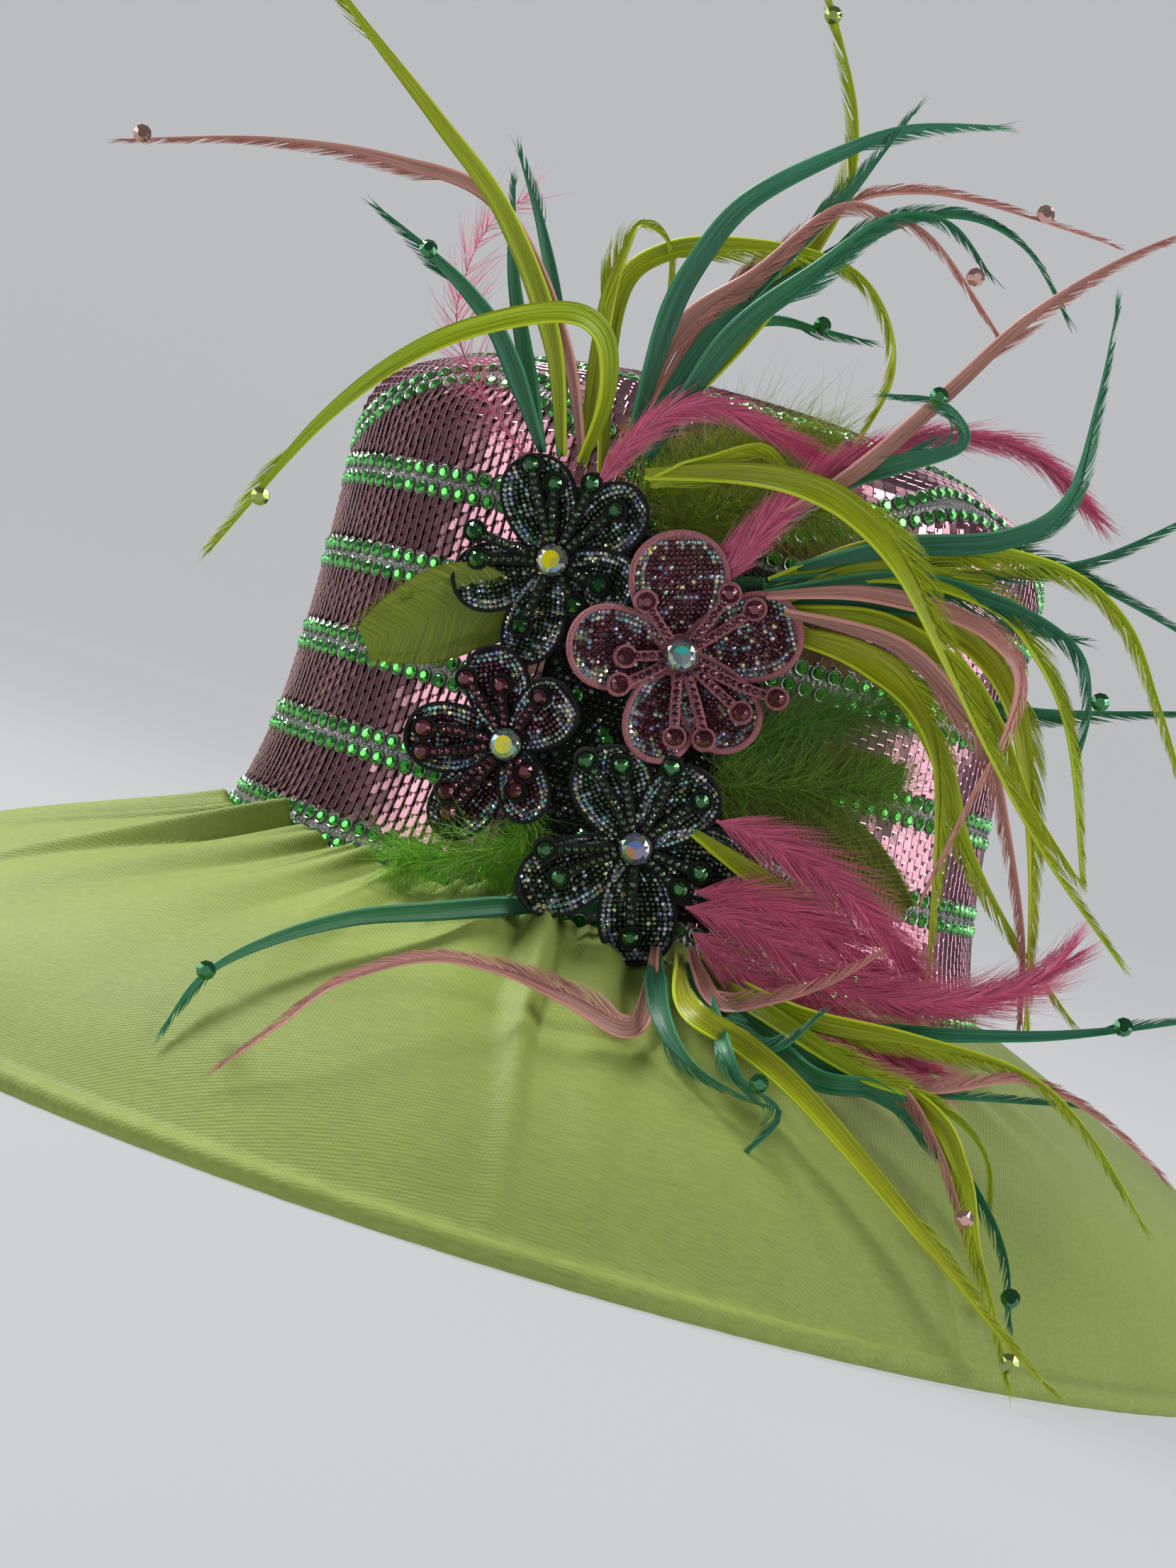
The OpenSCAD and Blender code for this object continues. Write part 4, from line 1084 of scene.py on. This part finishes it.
def build_flowers():
    """Four flowers of felt petals, stamens and stones; the second one is rose, the others black."""
    black, rose = felt("black_flock", (0.012, 0.012, 0.012)), felt("rose_flock", (0.42, 0.16, 0.18))
    paved = tinted("paved_stones", 0.09, metal=0.75, coat=1.0)
    large = tinted("large_stones", 0.05, metal=0.8, coat=1.0)
    glow = tinted("stone_tables", 0.1, coat=1.0)
    yellow = (1.0, 0.9, 0.0)
    tables = [(yellow, yellow, (0.75, 0.7, 0.1)), ((0.05, 0.6, 0.5), (0.2, 0.25, 0.28), (0.3, 0.35, 0.38)),
              (yellow, yellow, (0.8, 0.8, 0.1)), ((0.08, 0.2, 0.65), (0.6, 0.25, 0.1), (0.35, 0.3, 0.55))]
    for k, (place, tilt, swing, petals, stamens) in enumerate(FLOWERS):
        if k == 1:
            cloth, felt_slot, rise, cup, rim_r = [rose], "rose_felt", 5.5, 1.2, 0.75
        else:
            cloth, felt_slot, rise, cup, rim_r = [black], "black_felt", 4.0, 1.6, 0.5
        if k in (1, 2):
            stone_slot, inner, end = "maroon_stones", (0.10, 0.022, 0.04), (0.16, 0.035, 0.05)
        else:
            stone_slot, inner, end = "green_stones", (0.035, 0.075, 0.03), (0.02, 0.13, 0.03)
        felts, paving, strips, rows, middle = shapes = [Shape() for _ in range(5)]
        for petal in petals:
            build_petal(felts, paving, (petal, rise, cup), inner, rim_r)
        felts.add(*disc(5.2, 0.2, PETAL_T))
        for angle, length in stamens:
            build_stamen(strips, rows, angle, length, rise, tuple(c * 1.3 for c in inner), end)
        centre_stone(middle, tables[k])
        for shape in shapes:
            shape.verts = [v @ flower_axes(tilt, swing) + place for v in shape.verts]
        name = f"flower_{k + 1}"
        felts.make(f"{name}_felt", cloth, felt_slot, [f"{name}_petals"], smooth=True)
        paving.make(f"{name}_paving", [paved], stone_slot)
        strips.make(f"{name}_stamen_felt", cloth, felt_slot, smooth=True)
        rows.make(f"{name}_stamen_stones", [paved], stone_slot, [f"{name}_stamens"])
        middle.make(f"{name}_centre", [large, glow], "crystal_stones", [f"{name}_stone"])
    pave_pad(paved)


def pave_pad(material):
    """Dark stones over the backing between the flowers, with some large green ones."""
    shape = Shape()
    for z in np.arange(14.0, 93.0, 1.5):
        t = np.radians(np.arange(75.0, 103.5, 1.05) + 0.5 * (z % 3 > 1.4))
        place, around, upward, normal = crown_frames(t, z, 4.7)
        around, upward = spin(around, upward, rng.uniform(0, TAU, len(t)))
        flashes = np.array(FLASHES)[rng.integers(0, len(FLASHES), len(t))] * 0.6
        tint = np.where(rng.random((len(t), 1)) < 0.2, flashes, varied((0.04, 0.06, 0.04), len(t), 0.5))
        shape.copies(cut_stone(7, 0.5, 0.5, 0.5), place, (around, upward, normal), 0.72, tint)
    many = 40
    t = np.radians(rng.uniform(76, 102, many))
    place, *axes = crown_frames(t, rng.uniform(14, 92, many), 5.2)
    shape.copies(cut_stone(), place, axes, 1.6, varied((0.05, 0.3, 0.05), many, 0.4))
    shape.make("pad_paving", [material], "green_stones")


def disc(radius, low, high):
    """A flat closed disc between two heights."""
    ring = circle(24) * radius
    return np.vstack([at_height(ring, low), at_height(ring, high)]), capped(2, 24)


# ---- Feathers ----


def smooth_path(points):
    """A Catmull-Rom line through a route's points."""
    p = np.asarray(points, float)
    p = np.vstack([p[:1], p, p[-1:]])
    t = np.arange(16)[:, None] / 16
    spans = [0.5 * (2 * b + (c - a) * t + (2 * a - 5 * b + 4 * c - d) * t ** 2
                    + (3 * b - a - 3 * c + d) * t ** 3)
             for a, b, c, d in zip(p, p[1:], p[2:], p[3:])]
    return np.vstack(spans + [p[-1:]])


def laid_out(route, pitch, twist=0.0):
    """A route at an even pitch: points, length, shares of it, and along, side and face directions.

    The side lies across the view of the trim's side at the root, and turns by twist up to the tip.
    """
    line = smooth_path(route)
    run = arc_run(line)
    t = np.linspace(0, 1, max(8, int(run[-1] / pitch)))
    path = at_spots(np.interp(t * run[-1], run, np.arange(len(run))), line)[0]
    along = unit(np.gradient(path, axis=0))
    side = unit(np.cross(along, (1.0, 0.1, 0.1)))
    face = np.cross(side, along)
    c, s = np.cos(twist * t)[:, None], np.sin(twist * t)[:, None]
    return path, run[-1], t, along, side * c + face * s, face * c - side * s


def strands(shape, roots, directions, curls, lengths, width, tint, steps=4):
    """Fine tapering barbs: each leaves its root in a direction and bends by its curl."""
    t = np.linspace(0, 1, steps + 1)[None, :, None]
    line = roots[:, None] + lengths[:, None, None] * (directions[:, None] * t + curls[:, None] * t * t)
    along = unit(np.gradient(line, axis=1))
    first = unit(np.cross(along, (0.3, 0.2, 1.0)))[:, :, None]
    second = np.cross(along[:, :, None], first)
    radius = (width / 2 * (1 - 0.85 * t))[..., None]
    ring = circle(3)
    rings = line[:, :, None] + radius * (ring[:, :1] * first + ring[:, 1:] * second)
    many = (steps + 1) * 3
    shape.add(rings, repeated(capped(steps + 1, 3), many, len(roots)), np.repeat(tint, many, 0))


def biot(vane, barbs, route, width, color, fringe, fringe_len, twist, flip):
    """A stripped feather: a quill on one edge, a smooth vane, and a comb of barbs on the other edge.

    The comb starts at fringe, a share of the length, and the vane narrows from there. flip is 1 or -1.
    """
    path, length, t, along, side, face = laid_out(route, 1.8, twist * flip)
    n = len(path)
    side = side * flip
    half = width * 0.42 * np.minimum(1, 0.35 + 2.4 * t) * (1 - t ** 2.4 * 0.95)
    opened = np.clip((t - fringe) / 0.25, 0, 1) * 1.1
    across = np.linspace(0, 1, 7)
    reach = -1 + (2 - opened)[:, None] * across
    dish = 0.34 * (1 - reach ** 2)
    top = (path[:, None] + (half[:, None] * reach)[..., None] * side[:, None]
           + (half[:, None] * dish)[..., None] * face[:, None])
    ring = np.concatenate([top, (top - face[:, None] * 0.22)[:, ::-1]], 1)
    count = ring.shape[1]
    u = np.repeat(t * length / 26, count)
    v = np.tile(np.concatenate([across, across[::-1]]) * width * 2.6, n)
    shift = rng.uniform(0, 50)
    shade = (0.72 + 0.4 * t)[:, None] * (1 + 0.08 * rng.uniform(-1, 1, (1, 3)))
    tint = np.repeat(np.asarray(color) * shade, count, 0)
    vane.add(ring, capped(n, count), tint, 0, np.stack([u, v], -1) + shift)
    quill = np.maximum(0.5 * (1 - t) ** 0.7, 0.12)
    barbs.add(*tube(path - side * half[:, None] * 0.95, quill, 5), np.asarray(color) * 1.3)
    many = int(length * (1 - fringe) * 2.6)
    k = np.sort(rng.uniform(max(fringe - 0.05, 0.05), 0.985, many)) * (n - 1)
    p, a, s, f, w, gone = at_spots(k, path, along, side, face, half[:, None], opened[:, None])
    lean = rng.normal(0.33, 0.03, (many, 1))
    direction = unit(a + s * lean + f * rng.normal(0.0, 0.04, (many, 1)))
    later = at_spots(np.minimum(k + 3, n - 1), along)[0]
    size = (0.8 * fringe_len + 1.7 * w[:, 0]) * rng.uniform(0.88, 1.0, many) * (1.15 - 0.45 * k / n)
    roots = p + s * w * (0.75 - gone) + f * w * 0.1
    curl = (later - a) * 0.8 - s * 0.05
    strands(barbs, roots, direction, curl, size, 0.4, varied(color, many, 0.3))
    tips = 9
    roots = path[-2] + side[-2] * rng.uniform(-0.5, 0.5, (tips, 1)) * half[-3]
    direction = unit(along[-1] + side[-1] * rng.uniform(-0.15, 0.25, (tips, 1)))
    curl = side[-1] * rng.uniform(-0.1, 0.1, (tips, 1))
    strands(barbs, roots, direction, curl, rng.uniform(3, 7, tips), 0.35, varied(color, tips, 0.3), 3)


def hackle(barbs, route, barb_len, color, density=14.0, angle=0.45, width=0.26, soft=0.35):
    """A soft feather: a quill with long fine barbs on both sides, density of them per mm."""
    path, length, t, along, side, face = laid_out(route, 1.8, 0.3)
    n = len(path)
    barbs.add(*tube(path, np.maximum(0.45 * (1 - t), 0.1), 5), np.asarray(color) * 0.8)
    many = int(length * density)
    spots = rng.uniform(0.0, 0.97, many)
    p, a, s, f = at_spots(spots * (n - 1), path, along, side, face)
    hand = rng.choice([-1.0, 1.0], (many, 1))
    lean = angle * rng.uniform(0.6, 1.3, (many, 1)) * (1.15 - 0.6 * spots[:, None])
    direction = unit(a + s * hand * lean + f * rng.normal(0, soft * 0.3, (many, 1)))
    later = at_spots(np.minimum(spots * (n - 1) + 5, n - 1), along)[0]
    curl = (later - a) * 0.7 + a * rng.uniform(0, 0.15, (many, 1)) + rng.normal(0, soft * 0.15, (many, 3))
    size = barb_len * rng.uniform(0.6, 1.1, many) * np.interp(spots, [0, 0.25, 0.8, 1], [0.7, 1.0, 0.9, 0.5])
    strands(barbs, p, direction, curl, size, width, varied(color, many, 0.35), 5)


def leaf_feather(vane, barbs, route, width, color, barred):
    """A broad rounded feather: close barbs that slant from its quill, some with dark chevrons."""
    path, length, t, along, side, face = laid_out(route, 0.5, 0.2)
    n = len(path)
    half = width / 2 * np.sin(math.pi * np.clip(0.04 + 0.9 * t ** 0.85, 0, 1)) ** 0.6
    across = np.linspace(-1, 1, 31)
    spread = half[:, None] * across
    dish = 0.9 * (1 - across ** 2)[:, None]
    top = path[:, None] + side[:, None] * spread[..., None] + face[:, None] * dish
    slant = t[:, None] * length - 0.8 * np.abs(spread)
    bars = np.where(np.sin(slant * 4.2) > 0.1, 0.35, 1.15) if barred else 0.94 + 0.07 * np.sin(slant * 9)
    back = (top - face[:, None] * 0.15)[:, ::-1]
    tint, place = (np.concatenate([a, a[:, ::-1]], 1) for a in (np.asarray(color) * bars[..., None],
                                                               np.stack([spread / 26, slant * 2.2], -1)))
    vane.add(np.concatenate([top, back], 1), [grid_faces(n, 62, closed=True)], tint.reshape(-1, 3), 0, place)
    barbs.add(*tube(path + face, np.maximum(0.4 * (1 - t), 0.1), 5), np.asarray(color) * 1.3)
    many = int(length * 14)
    k = rng.uniform(0.04, 0.99, many) * (n - 1)
    p, a, s, f, w = at_spots(k, path, along, side, face, half[:, None])
    s = s * rng.choice([-1.0, 1.0], (many, 1))
    roots = p + s * w * rng.uniform(0.6, 0.95, (many, 1)) + f * 0.3
    direction = unit(a * 0.9 + s * rng.uniform(0.4, 0.9, (many, 1)) + f * rng.normal(0, 0.1, (many, 1)))
    strands(barbs, roots, direction, a * 0.2, rng.uniform(1.5, 3.5, many), 0.25, varied(color, many, 0.35), 3)


def fluff(barbs, route, reach, color):
    """Marabou: a mass of very fine loose curling barbs round a short quill."""
    path, length, _, along, side, face = laid_out(route, 1.5)
    many = int(length * 22)
    spots = rng.uniform(0, 1, many)
    p, a, s, f = at_spots(spots * (len(path) - 1), path, along, side, face)
    swing = rng.uniform(0, TAU, (many, 1))
    out = s * np.cos(swing) + f * np.sin(swing) * 0.45
    direction = unit(a * rng.uniform(0.1, 1.0, (many, 1)) + out)
    curl = rng.normal(0, 0.3, (many, 3)) + a * 0.25
    size = reach * rng.uniform(0.45, 1.0, many) * (1 - 0.3 * spots)
    strands(barbs, p, direction, curl, size, 0.17, varied(color, many, 0.45), 6)
    base = p + direction * size[:, None] * 0.35
    strands(barbs, base, unit(direction + rng.normal(0, 0.8, (many, 3))), rng.normal(0, 0.3, (many, 3)),
            size * 0.35, 0.13, varied(color, many, 0.5), 3)


def crystals(hue, places, color, material):
    """Round faceted stones glued to feather tips, facing the trim's side."""
    shape = Shape()
    count = len(places)
    out = unit(np.array([-1.0, 0, 0]) + rng.normal(0, 0.15, (count, 3)))
    across = unit(np.cross((0, 0, 1.0), out))
    base = np.array(places) + (-0.6, 0, 0)
    shape.copies(cut_stone(10, 0.5, 0.45, 0.35), base, (across, np.cross(out, across), out), 2.15,
                 varied(color, count, 0.15))
    shape.make(f"tip_stones_{hue}", [material], "crystal_stones", [f"{hue}_tip_crystals"])


def spray(group, hue, color, looks, feathers, twists, comb, first):
    """A group of biot feathers of one colour, from rows (route, width, start of the comb).

    looks are the vane's and the barbs' materials. The feathers take the twists in turn, and flip by turns.
    """
    vane, barbs = Shape(), Shape()
    for k, (route, width, fringe) in enumerate(feathers):
        flip = -1 if (k + first) % 2 else 1
        biot(vane, barbs, route, width, color, fringe, comb, twists[k % len(twists)], flip)
    name = f"{group}_{hue}"
    vane.make(f"{name}_vanes", looks[:1], f"{hue}_feather", [f"{name}_feathers"], smooth=True)
    barbs.make(f"{name}_barbs", looks[1:], f"{hue}_feather")


def wrap(group, middle, direction, tape):
    """Tape wound round the quills of a spray, with the quills' ends sticking out of it."""
    shape = Shape()
    middle, d = np.array(middle, float), np.array(direction, float)
    path = middle + np.linspace(-0.5, 0.5, 40)[:, None] * d
    shape.add(*tube(path, 2.0 + 0.16 * np.sin(np.linspace(0, 9 * TAU, 40)), 12), (0.03, 0.12, 0.05))
    for k, q in enumerate(turns(7)):
        start = middle - d * 0.5 + np.cross(unit(d), (math.cos(q), math.sin(q), 0.3)) * 1.1
        end = start - unit(d) * (2.0 + 0.5 * (k % 3))
        shape.add(*tube([start, (start + end) / 2, end], [0.4, 0.38, 0.3], 6), (0.2, 0.26, 0.1))
    shape.make(f"{group}_wrap_tape", [tape], "floral_tape", [f"{group}_spray_wrap"], smooth=True)


# Group, colour, routes, each one's width, where its comb of barbs starts, twists, comb length, first flip
SPRAYS = [
    ("upper", "green", EMERALD, UPPER_GREEN, (5.5, 5, 5, 6.5, 6, 6.5, 6, 4.5, 6, 6),
     (0.7, 0.8, 0.8, 0.78, 0.7, 0.5, 0.55, 0.8, 0.5, 0.5), (0.4, 0.2, -0.3), 7.0, 0),
    ("upper", "lime", LIME, UPPER_LIME, (6, 6, 5, 6, 6), (0.85, 0.85, 0.5, 0.45, 0.35),
     (0.3, 0.2, 0.6, -0.8, 0.2), 10.0, 0),
    ("upper", "rose", ROSE, UPPER_ROSE, (4.5, 5, 5, 4.5), (0.55, 0.25, 0.35, 0.6), (0.5, -0.4), 7.0, 0),
    ("front", "green", EMERALD, FRONT_GREEN, (6, 6.5, 6, 6, 5, 5), (0.3, 0.35, 0.4, 0.45, 0.4, 0.6),
     (0.3, -0.3), 9.0, 0),
    ("front", "lime", LIME, FRONT_LIME, (8, 7, 9, 6.5, 7, 6, 7, 7),
     (0.35, 0.3, 0.3, 0.35, 0.5, 0.5, 0.3, 0.1), (0.4, 0.2, 0.5), 9.0, 0),
    ("front", "rose", ROSE, FRONT_ROSE, (5, 5), (0.45, 0.35), (0.6, 0.3), 7.0, 0),
    ("lower", "green", EMERALD, LOWER_GREEN, (6, 6.5, 4.5, 5.5, 4.5, 6.5, 5),
     (0.9, 0.6, 0.4, 0.6, 0.85, 0.6, 0.5), (0.5, 0.7, 0.3), 7.0, 0),
    ("lower", "lime", LIME, LOWER_LIME, (6.5, 6, 5.5, 6, 6), (0.75, 0.4, 0.5, 0.5, 0.4),
     (0.2, 0.4, -0.3), 7.0, 0),
    ("lower", "rose", ROSE, LOWER_ROSE, (6, 5, 5, 4.5), (0.25, 0.35, 0.4, 0.4), (0.5, 0.3), 7.0, 1),
]


def build_feathers():
    """The sprays, the fluff behind the flowers and the stones on the tips."""
    looks = [feather_vane(), tinted("feather_barb", 0.5, sheen=0.3)]
    strand = looks[1:]
    for group, hue, color, routes, widths, fringes, twists, comb, first in SPRAYS:
        spray(group, hue, color, looks, zip(routes, widths, fringes), twists, comb, first)
    for name, routes, reach, angle in (("hot_pink", HOT_PINK_ROUTES, 15, 0.3),
                                       ("lower_pink", LOWER_PINK, 20, 0.42)):
        shape = Shape()
        for route in routes:
            hackle(shape, route, reach, HOT_PINK, angle=angle)
        shape.make(f"{name}_barbs", strand, "pink_feather", [f"{name}_hackles"])
    shape = Shape()
    hackle(shape, OSTRICH, 16, tuple(c * 1.2 for c in HOT_PINK), 3.0, 0.9, 0.18, 0.8)
    shape.make("ostrich_barbs", strand, "pink_feather", ["ostrich_wisp"])
    vane, barbs = Shape(), Shape()
    for route, width, barred in zip(OLIVE_LEAF, (22, 16, 12), (False, True, True)):
        leaf_feather(vane, barbs, route, width, OLIVE, barred)
    vane.make("olive_leaf_vanes", looks[:1], "olive_feather", ["olive_leaf_feathers"], smooth=True)
    barbs.make("olive_leaf_barbs", strand, "olive_feather")
    shape = Shape()
    greens = [(0.36, 0.48, 0.02), (0.30, 0.42, 0.02), (0.12, 0.30, 0.03), (0.20, 0.38, 0.03),
              (0.24, 0.55, 0.02)]
    for route, color in zip(OLIVE_MARABOU, greens):
        fluff(shape, route, 19, color)
    fluff(shape, [(-88, 24, 24), (-91, 22, 13), (-92, 26, 5)], 10, greens[-1])
    shape.make("olive_marabou_barbs", strand, "olive_feather", ["olive_marabou"])
    gem = tinted("tip_stones", 0.05, metal=0.8, coat=1.0)
    crystals("green", GREEN_CRYSTALS, (0.03, 0.2, 0.07), gem)
    crystals("rose", ROSE_CRYSTALS, (0.7, 0.4, 0.35), gem)
    crystals("lime", LIME_CRYSTALS, (0.3, 0.4, 0.08), gem)
    tape = tinted("binding_tape", 0.7, scale=700, spots=0.2, grain=0.4)
    wrap("upper", (-86, 32, 94), (-2, 3, 12), tape)
    wrap("front", (-92, -8, 88), (-4, -12, 3), tape)
    wrap("lower", (-90, -10, 10), (-6, -10, -6), tape)


add_camera()
add_surroundings()
build_crown()
build_brim()
build_inside()
build_flowers()
build_feathers()
